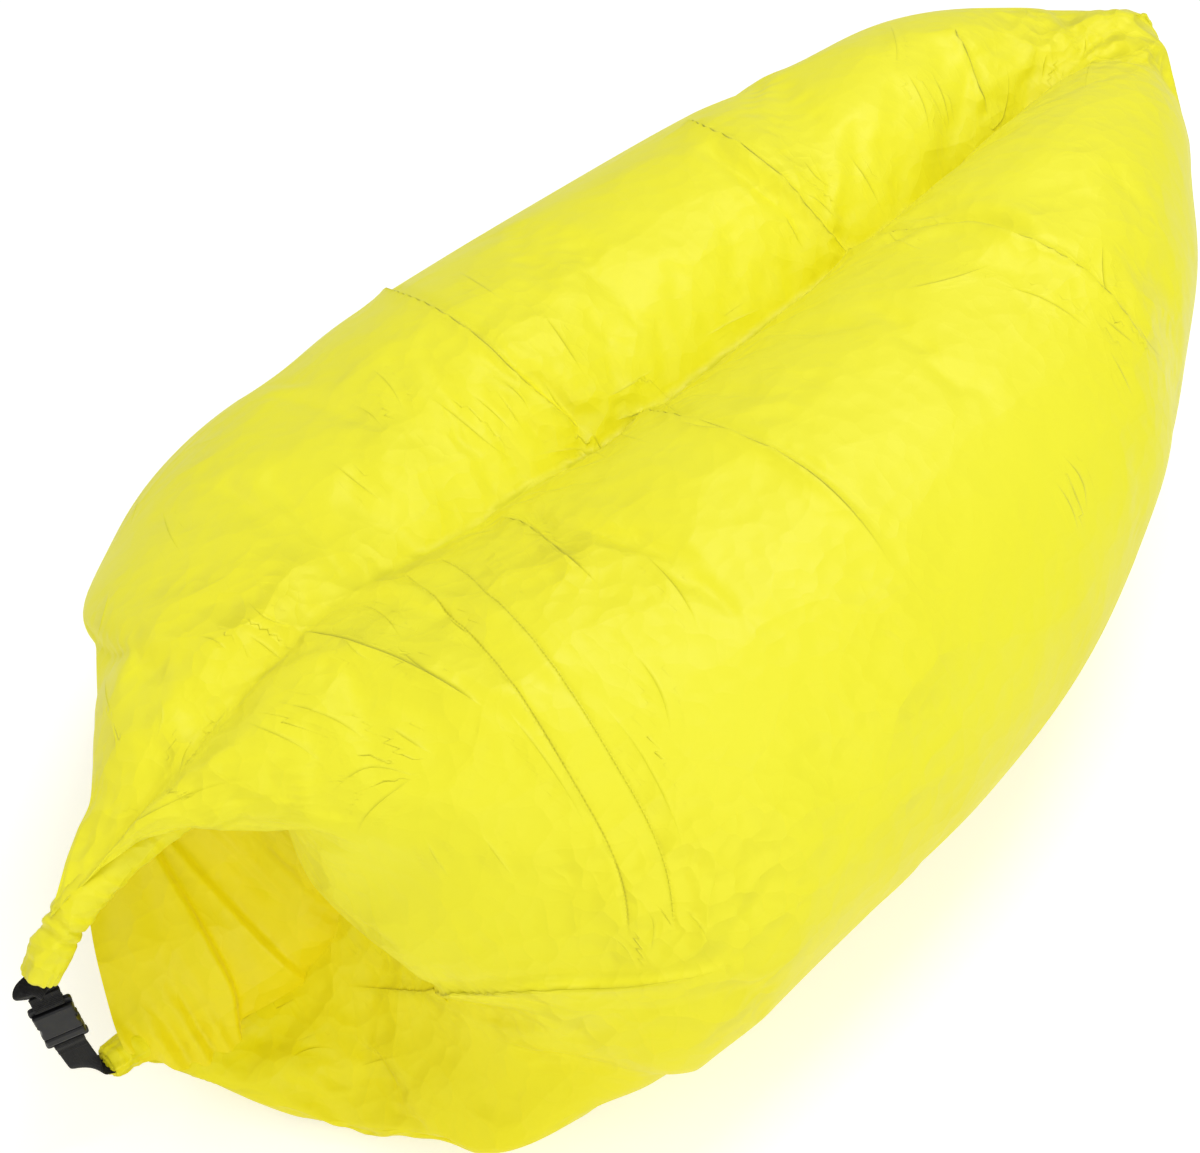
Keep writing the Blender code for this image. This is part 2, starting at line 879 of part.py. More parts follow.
def add_bar_frame(body, end, far):
    """Joins lugs and a bar to a body's end, with a slot between for the webbing."""
    way = 1 if far > end else -1
    low, high = sorted((end - way * frame_overlap, far))
    block = rounded_outline(-frame_width / 2, frame_width / 2, low, high, bar_height * bar_round_share)
    frame = add_cutter(body.name + "_frame", plate("frame", block, frame_thickness), body.parent)
    round_edges(frame, edge_round)
    join(body, frame)
    half = webbing_width / 2 + bar_slot_margin
    low, high = sorted((end, far - way * bar_height))
    opening = rounded_outline(-half, half, low, high, bar_slot_height * slot_round_share)
    slot = plate("bar_slot", opening, frame_thickness + 2 * edge_round)
    subtract(body, add_cutter(body.name + "_slot", slot, body.parent))


def socket(parent):
    """The female half: a flat sleeve with a throat, side windows, a waist for the fingers and a bar."""
    centre = (0, socket_length / 2, 0)
    block = block_mesh("socket", socket_width, socket_length, buckle_thickness, centre)
    body = add_object("buckle_socket", block, buckle_plastic, parent)
    round_edges(body, body_round, 3, "body rounding")
    add_bar_frame(body, socket_length, socket_bar_height() + bar_height / 2)
    cavity_centre = (0, (cavity_depth - cut_overrun) / 2, 0)
    cavity = block_mesh("cavity", throat_width, cavity_depth + cut_overrun, cavity_thickness, cavity_centre)
    subtract(body, add_cutter("socket_cavity", cavity, parent))
    waist_middle = window_start + window_length / 2
    for side in (-1, 1):
        window = plate("window", window_outline(side), cavity_thickness)
        subtract(body, add_cutter("socket_window_%+d" % side, window, parent))
        mesh = bpy.data.meshes.new("waist")
        work = bmesh.new()
        bmesh.ops.create_cone(work, cap_ends=True, segments=waist_sides, radius1=waist_radius,
                              radius2=waist_radius, depth=buckle_thickness + cut_overrun)
        work.to_mesh(mesh)
        work.free()
        waist = add_cutter("socket_waist_%+d" % side, mesh, parent)
        waist.location = (side * (socket_width / 2 + waist_radius - waist_depth), waist_middle, 0)
        subtract(body, waist)
    return body


def window_outline(side):
    """Side window whose lower edge slopes as the catch does."""
    throat = throat_width / 2
    outer = socket_width / 2 + cut_overrun
    inner = throat - edge_round
    end = window_start + window_length
    slope_top = window_start + (outer - throat) / window_ramp
    points = [(inner, window_start), (throat, window_start), (outer, slope_top)]
    points += [(socket_width / 2, end), (inner, end)]
    return [(side * x, y) for x, y in points]


def prong_base(parent):
    """The male half's block, with its centre tongue, the prongs' knuckle seats and a bar."""
    top = -base_gap
    centre = (0, top - base_length / 2, 0)
    block = block_mesh("base", socket_width, base_length, buckle_thickness, centre)
    base = add_object("prong_base", block, buckle_plastic, parent)
    round_edges(base, body_round, 3, "body rounding")
    add_bar_frame(base, top - base_length, base_bar_height() - bar_height / 2)
    half = tongue_width / 2
    tongue = rounded_outline(-half, half, top - frame_overlap, top + tongue_length, half * tongue_round_share)
    guide = add_cutter("base_tongue", plate("tongue", tongue, tongue_thickness), parent)
    round_edges(guide, edge_round)
    join(base, guide)
    for side in (-1, 1):
        mesh = bpy.data.meshes.new("seat")
        work = bmesh.new()
        radius = prong_knuckle_radius + prong_clearance
        bmesh.ops.create_cone(work, cap_ends=True, segments=seat_sides, radius1=radius, radius2=radius,
                              depth=prong_thickness + 2 * prong_clearance)
        work.to_mesh(mesh)
        work.free()
        seat = add_cutter("knuckle_seat_%+d" % side, mesh, parent)
        seat.location = (side * prong_place, top - prong_pivot_drop, 0)
        subtract(base, seat)
    return base


def prong_outline():
    """Half of the catch spring, from its round knuckle up to its head, in the pivot's own frame."""
    pivot = -base_gap - prong_pivot_drop
    arm = prong_arm_width / 2
    throat = throat_width / 2 - prong_place
    reach = prong_reach - prong_place
    window = window_start - pivot
    catch_low = window + catch_play - (throat - arm) / window_ramp
    tip = reach * catch_tip_share
    catch_high = window + catch_play + (tip - throat) / window_ramp
    top = prong_top - pivot
    radius = prong_knuckle_radius
    opening = math.asin(arm / radius)
    points = []
    for i in range(knuckle_steps + 1):
        angle = math.pi / 2 + opening + (2 * math.pi - 2 * opening) * i / knuckle_steps
        points.append((radius * math.cos(angle), radius * math.sin(angle)))
    points += [(arm, catch_low), (tip, catch_high)]
    head = top - catch_high
    for share_x, share_z in prong_head_shares:
        points.append((reach * share_x, catch_high + head * share_z))
    points += [(-arm, top - head * spring_shoulder_share), (-arm, catch_low)]
    return points


def prong(name, side, parent):
    outline = [(side * x, y) for x, y in prong_outline()]
    made = add_object(name, plate(name, outline, prong_thickness), buckle_plastic, parent)
    made.location = (side * prong_place, -base_gap - prong_pivot_drop, 0)
    round_edges(made, edge_round, 1)
    return made


def buckle():
    frame = bpy.data.objects.new("buckle_frame", None)
    parts.objects.link(frame)
    sideways, up, through = buckle_axes()
    columns = Matrix((sideways, up, through)).transposed()
    frame.matrix_world = Matrix.Translation(buckle_origin()) @ columns.to_4x4()
    socket(frame)
    prong_base(frame)
    prong("front_prong", -1, frame)
    prong("rear_prong", 1, frame)


clear_scene()
parts = new_collection("air_lounger")
cutters = new_collection("cutters")
cloth = material("bag_cloth", (0.86, 0.80, 0.035), 0.42)
film = material("bladder_film", (0.90, 0.90, 0.88), 0.25)
strip_plastic = material("strip_plastic", (0.55, 0.55, 0.53), 0.45)
webbing_cloth = material("webbing", (0.012, 0.012, 0.013), 0.85)
buckle_plastic = material("buckle_plastic", (0.015, 0.015, 0.016), 0.38)

for side_name in side_feet:
    chamber_panels(side_name)
    film_bladder(side_name)
spine_seams()
head_seam()
mouth_roll()
mouth_strips()
webbing_tabs()
buckle()
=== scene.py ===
"""Looks of the inflatable air lounger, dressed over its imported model.

Everything is in metres in the model's own frame: +Y runs from the loop and buckle to the head end, +Z is
up, and x = 0 is the plane between the two chambers. Creases are drawn as lines in the photograph's frame
and laid onto the cloth from the camera.
"""
import math

import bmesh
import bpy
import numpy as np
from mathutils import Matrix, Vector
from mathutils.bvhtree import BVHTree


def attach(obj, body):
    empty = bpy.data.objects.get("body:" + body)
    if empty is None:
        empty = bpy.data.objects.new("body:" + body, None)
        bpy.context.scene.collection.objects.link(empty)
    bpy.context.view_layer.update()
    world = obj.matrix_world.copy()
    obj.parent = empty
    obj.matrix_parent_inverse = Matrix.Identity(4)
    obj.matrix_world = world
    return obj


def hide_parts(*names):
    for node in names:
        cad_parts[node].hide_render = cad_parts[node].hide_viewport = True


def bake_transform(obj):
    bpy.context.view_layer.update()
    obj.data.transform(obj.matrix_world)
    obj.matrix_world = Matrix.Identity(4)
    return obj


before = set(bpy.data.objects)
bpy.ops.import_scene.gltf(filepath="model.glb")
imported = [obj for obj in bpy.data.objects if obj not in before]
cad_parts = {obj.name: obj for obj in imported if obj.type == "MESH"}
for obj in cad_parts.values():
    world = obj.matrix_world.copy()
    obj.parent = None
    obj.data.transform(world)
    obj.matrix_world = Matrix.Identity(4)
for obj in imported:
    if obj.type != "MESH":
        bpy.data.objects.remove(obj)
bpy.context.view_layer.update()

# Camera at the photograph's angle
photo_width = 1200
photo_height = 1153
camera_azimuth = math.radians(48.13)
camera_elevation = math.radians(44.9)
camera_roll = math.radians(-5.05)
camera_target = Vector((0.0231, -0.1573, 0.2414))
camera_distance = 1.6337
camera_lens = 50.16
camera_sensor = 36
photo_focal = camera_lens / camera_sensor * photo_width

# Sizes shared with the part's source
total_length = 1.610
chamber_width = 0.432
crest_height = 0.440
webbing_bulge = 0.0120
floor_sink = 0.010
foot_overlap = 0.10
middle_overlap = 0.57
head_overlap = 0.60
foot_depth = 0.185
foot_lean = 0.175
foot_rise = 2.8
cheek_place = 0.62
cheek_spread = 0.07
head_depth = 0.430
head_lean = 0.270
head_tip_height = 0.440
head_foot_height = 0.150
head_ear = 0.024
head_seam_depth = 0.010
body_width_shares = (0.99, 1.00, 1.00, 0.98, 0.93, 0.85)
body_height_shares = (0.945, 0.975, 0.985, 1.00, 1.03, 1.065)
side_feet = {"right": (0.0, 0.138, 0.040), "left": (-0.070, 0.095, -0.020)}
# Puffs of the cloth beside the roll: place round the rim and spread as shares, depth
front_puffs = {"right": ((0.46, 0.12, 0.060), (0.92, 0.14, 0.030)), "left": ((0.62, 0.16, 0.050),)}
puff_rise = 0.030
puff_reach = (0.20, 0.40)
side_heads = {"right": (0.11, 1.0, 0.54), "left": (0.0, 2.0, 0.26)}
head_slimming_power = 6
roll_front = 0.020
loop_reach = 0.262
loop_turn = 0.100
loop_height = 0.236
loop_low = 0.070
upper_arm_droop = 0.058
upper_arm_curl = 3
lower_arm_rise = 0.010
lower_arm_setback = 0.018
roll_width = 0.036
roll_depth = 0.038
upper_bare_arm = 0.044
lower_bare_arm = 0.022
loop_steps = 48
rim_steps = 600

# Valley between the chambers, and where it deepens along foot, body and head
valley_depth = 0.060
valley_width = 0.034
foot_valley_share = 0.5
foot_valley_from_share = 0.55
body_valley_run_share = 0.3
head_valley_from_share = 0.3

# Blunt start of the cloth at the mouth, by place round the rim
foot_bluntness = {"right": (0.80, 0.52, 0.26, 0.22, 0.22), "left": (0.30, 0.22, 0.22, 0.22, 0.22)}

# Flat band between two rows of stitches, where the cloth's panels meet
band_width = 0.036
band_height = 0.0011
groove_width = 0.0022
groove_depth = 0.0018
thread_width = 0.0007
stitch_length = 0.0042
stitch_height = 0.0006

# Lean of the valley towards the far chamber, the rows that it starts and ends at, and its heights
valley_shift = 0.026
valley_lean_width = 0.12
valley_lean_row_shares = (0.45, 1.1)
valley_lean_end_rows = 8
valley_lean_heights = (0.18, 0.30)

# Cross seams of the roll, from its upper end, and the gathered cuff over the strips' ends
roll_seams = (0.040, 0.051)
roll_seam_width = 0.0020
roll_seam_share = 0.15
roll_cuff = 0.0095
roll_crinkle = 0.9
# Its lap and, at each end, its gathers and its pinch: heights as shares of the radius, lengths along it
roll_lap = 0.10
roll_gather = 0.09
roll_gather_length = 0.012
roll_pinch = 0.16
roll_pinch_length = 0.010
# Its wrung wrinkles: length along it, turns round it, height as a share of its radius
roll_wrinkles = (
    (0.060, 1, 0.035), (0.034, 2, 0.040), (0.021, 1, 0.040), (0.014, 3, 0.030), (0.009, 2, 0.020),
    (0.006, 4, 0.010),
)

# Webbing and buckle, as in the part
strip_tail = 0.009
webbing_width = 0.025
webbing_thickness = 0.0015
rib_pitch = 0.0017
thread_pitch = 0.0012
fold_back = 0.016
bar_thickness = 0.0040
bar_height = 0.0034
socket_bar = 0.0390
base_bar = -0.0158
buckle_turn = math.radians(20)
buckle_sideways = Vector((math.sin(buckle_turn), math.cos(buckle_turn), 0))
buckle_through = Vector((math.cos(buckle_turn), -math.sin(buckle_turn), 0))
buckle_origin = Vector((0, 0.008 + webbing_bulge - total_length / 2, 0.164))

# Points that the straps turn at near the roll: along the bag, and up from the roll's end
upper_strap_turn = (-0.002, -0.018)
lower_strap_turn = (0.012, 0.014)
strap_rows = 240
strap_curve_steps = 600

# Bound seams: width, depth and sway
head_binding_size = (0.0055, head_seam_depth, 0.0008)
spine_binding_size = (0.0020, 0.006, 0.0004)
head_line_points = 90

# Fan of folds over the roll's lower arm: its near edge, its crest over the roll, and its far edge
fan_low = (
    (0.006, -0.748, 0.080), (0.042, -0.705, 0.044), (0.050, -0.660, 0.036), (0.054, -0.590, 0.036),
    (0.055, -0.510, 0.090),
)
fan_middle = (
    (-0.022, -0.740, 0.114), (-0.014, -0.692, 0.120), (-0.012, -0.650, 0.122), (0.004, -0.592, 0.122),
    (0.054, -0.528, 0.160),
)
fan_high = (
    (-0.100, -0.700, 0.150), (-0.112, -0.670, 0.152), (-0.118, -0.630, 0.154), (-0.085, -0.578, 0.172),
    (0.035, -0.535, 0.235),
)
# Its folds: place along it, slant, curve at the low edge, height, length of the rise before it
fan_folds = (
    (0.545, 0.02, -0.06, 0.014, 0.22), (0.700, -0.17, 0.0, 0.010, 0.10), (0.84, -0.16, 0.0, 0.005, 0.05),
)
fan_drop = 0.007
fan_crinkle = 0.2

# Air pressure on the cloth: how coarse, slack, long and far, and over how many cells it is levelled
inflate_step = 3
inflate_slack = 0.03
inflate_frames = 20
inflate_cap = 0.010
inflate_cells = 5
inflate_end_rows = 6
inflate_soft_cells = 0.8
inflate_settings = {
    "quality": 6, "mass": 0.12, "tension_stiffness": 30, "compression_stiffness": 30, "shear_stiffness": 12,
    "bending_stiffness": 0.06, "vertex_group_mass": "held", "shrink_min": -inflate_slack,
    "use_pressure": True, "uniform_pressure_force": 4,
}
floor_touch = 0.004

# Shifts of the outline in the photograph's frame: pixel, shift and reach in pixels
outline_shifts = (
    ((84, 600), (-7, 0), 50), ((78, 780), (18, 0), 70), ((285, 385), (4, 5), 60), ((800, 75), (4, 8), 65),
    ((1080, 10), (0, -10), 50), ((1150, 8), (-6, 6), 20), ((1113, 20), (0, -8), 22),
    ((1148, 42), (12, -3), 28), ((1198, 170), (-14, 0), 75), ((1175, 450), (9, 3), 75),
    ((660, 1105), (7, 11), 55), ((430, 1158), (0, -19), 60), ((168, 1056), (-12, 10), 28),
)

# Mesh of the cloth
arc_points = 241
foot_rows = 120
body_rows = 150
head_rows = 90
edge_inset = 0.0015


def blend(first, second, share):
    return first * (1 - share) + second * share


def smooth(low, high, value):
    share = np.clip((value - low) / (high - low), 0.0, 1.0)
    return share * share * (3 - 2 * share)


def bell(value):
    return np.exp(-value ** 2)


def along(distance):
    return distance + webbing_bulge - total_length / 2


def between(a, b, c, d, t):
    """Value between b and c on a smooth curve through four values."""
    return b + 0.5 * t * (c - a + t * (2 * a - 5 * b + 4 * c - d + t * (3 * (b - c) + d - a)))


def from_stations(place, shares):
    """Share at a place along the body, on a smooth curve through even stations."""
    last = len(shares) - 1
    step = min(last - 1, int(place * last))
    return between(*(shares[min(last, max(0, step + k))] for k in (-1, 0, 1, 2)), place * last - step)


# The roll's line, as in the part

def lengths_along(points):
    return np.concatenate(([0.0], np.cumsum([(b - a).length for a, b in zip(points, points[1:])])))


def resample(points, count):
    lengths = lengths_along(points)
    coordinates = np.array([list(point) for point in points])
    wanted = np.linspace(0.0, lengths[-1], count)
    columns = [np.interp(wanted, lengths, coordinates[:, i]) for i in range(3)]
    return [Vector(point) for point in zip(*columns)]


def loop_line():
    turn_centre = loop_reach - loop_turn
    upper = loop_low + loop_height
    middle = loop_low + loop_height / 2
    points = []
    for i in range(loop_steps):
        share = i / loop_steps
        y = blend(roll_front, turn_centre, share)
        points.append(Vector((0, along(y), upper - upper_arm_droop * (1 - share) ** upper_arm_curl)))
    for i in range(loop_steps):
        angle = math.pi * i / loop_steps
        y = turn_centre + loop_turn * math.sin(angle)
        points.append(Vector((0, along(y), middle + loop_height / 2 * math.cos(angle))))
    for i in range(loop_steps + 1):
        share = i / loop_steps
        y = blend(turn_centre, roll_front + lower_arm_setback, share)
        points.append(Vector((0, along(y), loop_low + lower_arm_rise * share ** 2)))
    return points


def tangents(line):
    last = len(line) - 1
    return [(line[min(i + 1, last)] - line[max(i - 1, 0)]).normalized() for i in range(len(line))]


def mouth_rim(count):
    line = resample(loop_line(), rim_steps)
    step = (line[1] - line[0]).length
    first = round(upper_bare_arm / step)
    last = len(line) - 1 - round(lower_bare_arm / step)
    squares = [Vector((0, -t.z, t.y)) for t in tangents(line)]
    rim = [point + square * (roll_depth / 2) for point, square in zip(line, squares)]
    return resample(rim[first:last + 1], count)


# The cloth of the two chambers

rim_points = mouth_rim(arc_points)


def section_arc(width, top, overlap):
    radius = width / (1 + overlap)
    start = math.acos(edge_inset / radius - overlap)
    half = (top + floor_sink) / 2
    angles = np.linspace(start, -start, arc_points)
    x = radius * (overlap + np.cos(angles))
    z = half - floor_sink + half * np.sin(angles)
    return x, z


def sink_valley(x, z, share):
    """Deepens the valley between the chambers on the upper half of a row."""
    upper = np.linspace(1, -1, arc_points) > 0
    return z - upper * share * valley_depth * np.exp(-x / valley_width)


def station(place, side):
    slim = 1 - side_heads[side][0] * place ** head_slimming_power
    width = chamber_width * slim * from_stations(place, body_width_shares)
    top = crest_height * from_stations(place, body_height_shares)
    return width, top, blend(middle_overlap, head_overlap, place)


body_start = loop_reach + roll_depth / 2 + foot_depth
body_end = total_length - webbing_bulge - head_seam_depth - head_ear - head_depth


def foot_row(share, side):
    extra_lean, swell, hollow = side_feet[side]
    width, top, overlap = station(0.0, side)
    full_x, full_z = section_arc(width, top, overlap)
    flared_x, flared_z = section_arc(width, top, foot_overlap)
    places = np.linspace(0, 1, arc_points)
    bluntness = np.interp(places, np.linspace(0, 1, len(foot_bluntness[side])), foot_bluntness[side])
    spread = (1 - (1 - share) ** 2) ** bluntness
    rise = 1 - (1 - share) ** foot_rise
    bow = math.sin(math.pi * share)
    rim_y = np.array([point.y for point in rim_points])
    rim_z = np.array([point.z for point in rim_points])
    x = blend(flared_x, full_x, share ** 2)
    z = blend(flared_z, full_z, share ** 2)
    z = sink_valley(x, z, float(smooth(foot_valley_from_share, 1.0, share)) * foot_valley_share)
    level = full_z / top - 0.5
    section_y = along(body_start) + (foot_lean + extra_lean * x / width) * level
    forward = swell * np.clip(-2 * level, 0, 1) * np.sqrt(np.maximum(x, 0) / width)
    back = hollow * bell((places - cheek_place) / cheek_spread)
    out = blend(edge_inset, x, spread)
    puff = sum(depth * bell((places - place) / near) for place, near, depth in front_puffs[side])
    beside = 1 - np.exp(-np.maximum(out - roll_width / 2, 0) / puff_rise)
    puff = puff * beside * (1 - smooth(*puff_reach, out)) * (1 - share) ** 2
    y = blend(rim_y, section_y, share) + bow * (back - forward) - puff
    return out, y, blend(rim_z, z, rise)


def body_row(place, side):
    extra_lean = side_feet[side][0] * (1 - place) ** 2
    width, top, overlap = station(place, side)
    x, z = section_arc(width, top, overlap)
    lean = foot_lean * (1 - place) ** 2 + head_lean * place ** 2
    y = along(blend(body_start, body_end, place)) + (lean + extra_lean * x / width) * (z / top - 0.5)
    deeper = float(smooth(0.0, body_valley_run_share, place))
    return x, y, sink_valley(x, z, foot_valley_share + (1 - foot_valley_share) * deeper)


def head_row(share, side):
    width, top, overlap = station(1.0, side)
    x, z = section_arc(width, top, overlap)
    _, turn, taper = side_heads[side]
    narrowing = (1 - share ** turn) ** taper
    closing = share ** 2
    down = np.linspace(0, 1, arc_points)
    y = along(body_end + head_depth * share) + head_lean * (z / top - 0.5) * (1 - closing)
    y = y + head_ear * closing * (1 - down) ** 2
    x = blend(edge_inset, x, narrowing)
    z = sink_valley(x, z, 1 - float(smooth(head_valley_from_share, 1.0, share)))
    return x, y, blend(z, blend(head_tip_height, head_foot_height, down), closing)


def row_places():
    """(kind, share) of every row from the mouth to the head seam."""
    foot = [("foot", (i / foot_rows) ** 1.6) for i in range(foot_rows)]
    body = [("body", i / body_rows) for i in range(body_rows)]
    head = [("head", math.sin(math.pi / 2 * i / head_rows)) for i in range(head_rows + 1)]
    return foot + body + head


def cloth_grid(side):
    makers = {"foot": foot_row, "body": body_row, "head": head_row}
    rows = [np.stack(makers[kind](share, side), axis=1) for kind, share in row_places()]
    grid = np.stack(rows)
    if side == "left":
        grid[:, :, 0] *= -1
    return grid


def bag_loops():
    """Points of the skin round both chambers: each row runs down the right chamber and up the left one."""
    right, left = cloth_grid("right"), cloth_grid("left")
    middle_top = (right[:, :1] + left[:, :1]) / 2
    middle_low = (right[:, -1:] + left[:, -1:]) / 2
    loops = np.concatenate([middle_top, right[:, 1:-1], middle_low, left[:, -2:0:-1]], axis=1)
    x, z = loops[:, :, 0], loops[:, :, 2]
    rows = np.arange(len(loops))
    starting = smooth(*(foot_rows * share for share in valley_lean_row_shares), rows)
    ending = smooth(len(loops) - head_rows, len(loops) - valley_lean_end_rows, rows)
    reach = (starting * (1 - ending))[:, None] * smooth(*valley_lean_heights, z)
    loops[:, :, 0] -= valley_shift * reach * bell(x / valley_lean_width)
    return loops


def grid_faces(rows, around, closed):
    index = np.arange(rows * around).reshape(rows, around)
    a, b = index[:-1], index[1:]
    if closed:
        return np.stack([a, np.roll(a, -1, 1), np.roll(b, -1, 1), b], axis=-1).reshape(-1, 4)
    return np.stack([a[:, :-1], b[:, :-1], b[:, 1:], a[:, 1:]], axis=-1).reshape(-1, 4)


def grid_normals(points):
    """Outward normals of a closed-round grid of points."""
    down = np.gradient(points, axis=0)
    around = (np.roll(points, -1, 1) - np.roll(points, 1, 1)) / 2
    normals = np.cross(around, down)
    length = np.linalg.norm(normals, axis=2, keepdims=True)
    return normals / np.maximum(length, 1e-12)


def blur(values, cells):
    """Smooths a closed-round grid of vectors over this many cells."""
    reach = int(cells * 3)
    weights = np.exp(-0.5 * (np.arange(-reach, reach + 1) / cells) ** 2)
    weights /= weights.sum()
    padded = np.concatenate([values[:1].repeat(reach, 0), values, values[-1:].repeat(reach, 0)])
    down = sum(w * padded[i:i + len(values)] for i, w in enumerate(weights))
    return sum(w * np.roll(down, reach - i, 1) for i, w in enumerate(weights))


def finer(values, step):
    """A coarse closed-round grid of vectors, spread over the fine one that it was picked from."""
    rows, around = values.shape[:2]
    down = np.arange((rows - 1) * step + 1) / step
    low = np.minimum(down.astype(int), rows - 2)
    share = (down - low)[:, None, None]
    tall = values[low] * (1 - share) + values[low + 1] * share
    side = np.arange(around * step) / step
    left = side.astype(int)
    share = (side - left)[None, :, None]
    return tall[:, left] * (1 - share) + tall[:, (left + 1) % around] * share


def inflate(loops):
    """Swells and wrinkles of the cloth under air pressure: a shift of each point of the skin."""
    coarse = loops[::inflate_step, ::inflate_step]
    rows, around = coarse.shape[:2]
    skin = grid_object("inflating_skin", coarse, None)
    index = np.arange(rows * around).reshape(rows, around)
    resting = index[coarse[:, :, 2] < floor_touch]
    held = np.concatenate([index[0], index[-1], index[:, 0], index[:, around // 2], resting])
    group = skin.vertex_groups.new(name="held")
    group.add(np.unique(held).tolist(), 1.0, "REPLACE")
    modifier = skin.modifiers.new("air", "CLOTH")
    for key, value in inflate_settings.items():
        setattr(modifier.settings, key, value)
    modifier.settings.effector_weights.gravity = 0
    modifier.collision_settings.use_collision = False
    modifier.point_cache.frame_end = inflate_frames
    for i in range(1, inflate_frames + 1):
        bpy.context.scene.frame_set(i)
    settled = skin.evaluated_get(bpy.context.evaluated_depsgraph_get())
    places = np.empty(rows * around * 3)
    settled.data.vertices.foreach_get("co", places)
    shift = places.reshape(rows, around, 3) - coarse
    bpy.context.scene.frame_set(1)
    bpy.data.objects.remove(skin)
    shift = shift - blur(shift, inflate_cells)
    length = np.linalg.norm(shift, axis=2, keepdims=True)
    shift *= np.minimum(1, inflate_cap / np.maximum(length, 1e-9))
    rank = np.arange(rows)
    shift *= smooth(0, inflate_end_rows, np.minimum(rank, rows - 1 - rank))[:, None, None]
    return blur(finer(shift, inflate_step), inflate_soft_cells)


def new_object(name, data):
    made = bpy.data.objects.new(name, data)
    bpy.context.scene.collection.objects.link(made)
    return made


def mesh_object(name, points, faces, material):
    mesh = bpy.data.meshes.new(name)
    mesh.from_pydata(points, [], faces)
    mesh.shade_smooth()
    if material:
        mesh.materials.append(material)
    return new_object(name, mesh)


def grid_object(name, points, material, closed=True):
    faces = grid_faces(*points.shape[:2], closed)
    return mesh_object(name, points.reshape(-1, 3).tolist(), faces.tolist(), material)


# Camera and light

def make_camera():
    back = Vector((math.sin(camera_azimuth) * math.cos(camera_elevation),
                   -math.cos(camera_azimuth) * math.cos(camera_elevation), math.sin(camera_elevation)))
    right = Vector((math.cos(camera_azimuth), math.sin(camera_azimuth), 0))
    up = back.cross(right)
    turned_right = right * math.cos(camera_roll) + up * math.sin(camera_roll)
    turned_up = up * math.cos(camera_roll) - right * math.sin(camera_roll)
    data = bpy.data.cameras.new("camera")
    data.lens = camera_lens
    data.sensor_width = camera_sensor
    made = new_object("camera", data)
    turn = Matrix((turned_right, turned_up, back)).transposed().to_4x4()
    made.matrix_world = Matrix.Translation(camera_target + back * camera_distance) @ turn
    bpy.context.scene.camera = made
    return made


def camera_ray(pixel):
    """Origin and direction of the ray through a pixel of the photograph."""
    x, y = pixel
    matrix = bpy.context.scene.camera.matrix_world
    direction = Vector(((x - photo_width / 2) / photo_focal, (photo_height / 2 - y) / photo_focal, -1))
    return matrix.translation, (matrix.to_3x3() @ direction).normalized()


def shift_outline(points):
    """Points moved across the camera's view, where the outline differs from the photograph's."""
    matrix = np.array(bpy.context.scene.camera.matrix_world)
    seen = (points - matrix[:3, 3]) @ matrix[:3, :3]
    depth = -seen[..., 2]
    x = photo_width / 2 + photo_focal * seen[..., 0] / depth
    y = photo_height / 2 - photo_focal * seen[..., 1] / depth
    shift = np.zeros(points.shape)
    for (px, py), (right, down), reach in outline_shifts:
        near = np.exp(-((x - px) ** 2 + (y - py) ** 2) / reach ** 2) * depth / photo_focal
        shift += near[..., None] * (right * matrix[:3, 0] - down * matrix[:3, 1])
    return points + shift


# Lamps: name, place, size, power, colour
lamps = (
    ("key_lamp", (0.2, 1.0, 3.3), 1.1, 34, (1.0, 1.0, 1.0)),
    ("fill_lamp", (2.6, -1.0, 1.8), 2.8, 32, (1.0, 1.0, 1.0)),
    ("side_lamp", (-2.6, -1.2, 2.0), 2.0, 8, (1.0, 1.0, 1.0)),
    ("front_lamp", (-0.3, -3.0, 1.3), 1.2, 11, (1.0, 0.89, 0.64)),
)
world_level = 0.46
floor_reach = 12.0
floor_drop = 0.0005
floor_white = 0.9
floor_glow = 0.38


def make_light():
    for name, place, size, power, colour in lamps:
        data = bpy.data.lights.new(name, "AREA")
        data.energy = power
        data.size = size
        data.color = colour
        lamp = new_object(name, data)
        lamp.location = place
        lamp.rotation_mode = "QUATERNION"
        lamp.rotation_quaternion = (-Vector(place)).to_track_quat("-Z", "Y")
    world = bpy.data.worlds.new("studio")
    world.use_nodes = True
    background = world.node_tree.nodes["Background"]
    background.inputs["Color"].default_value = (1, 1, 1, 1)
    background.inputs["Strength"].default_value = world_level
    bpy.context.scene.world = world
    bpy.context.scene.view_settings.view_transform = "Standard"


def make_floor():
    """A pale floor, a little brighter to the camera and in reflections, that keeps the object's shadow."""
    corners = [(x * floor_reach, y * floor_reach, 0) for x, y in ((-1, -1), (1, -1), (1, 1), (-1, 1))]
    made, shader = new_material("floor_white", (floor_white,) * 3, 0.9)
    nodes = Nodes(made)
    seen = nodes.add("LightPath").outputs
    rays = nodes.plus(seen["Is Camera Ray"], seen["Is Glossy Ray"])
    rays = nodes.plus(rays, seen["Is Transmission Ray"])
    shader.inputs["Emission Color"].default_value = (1, 1, 1, 1)
    nodes.link(nodes.times(rays, floor_glow), shader.inputs["Emission Strength"])
    floor = mesh_object("floor", corners, [(0, 1, 2, 3)], made)
    floor.location.z = -floor_drop


# Materials

def new_material(name, colour, roughness, specular=0.5, sheen=0.0):
    made = bpy.data.materials.new(name)
    made.use_nodes = True
    shader = made.node_tree.nodes["Principled BSDF"]
    shader.inputs["Base Color"].default_value = (*colour, 1)
    for key, value in (("Roughness", roughness), ("Specular IOR Level", specular), ("Sheen Weight", sheen)):
        shader.inputs[key].default_value = value
    return made, shader


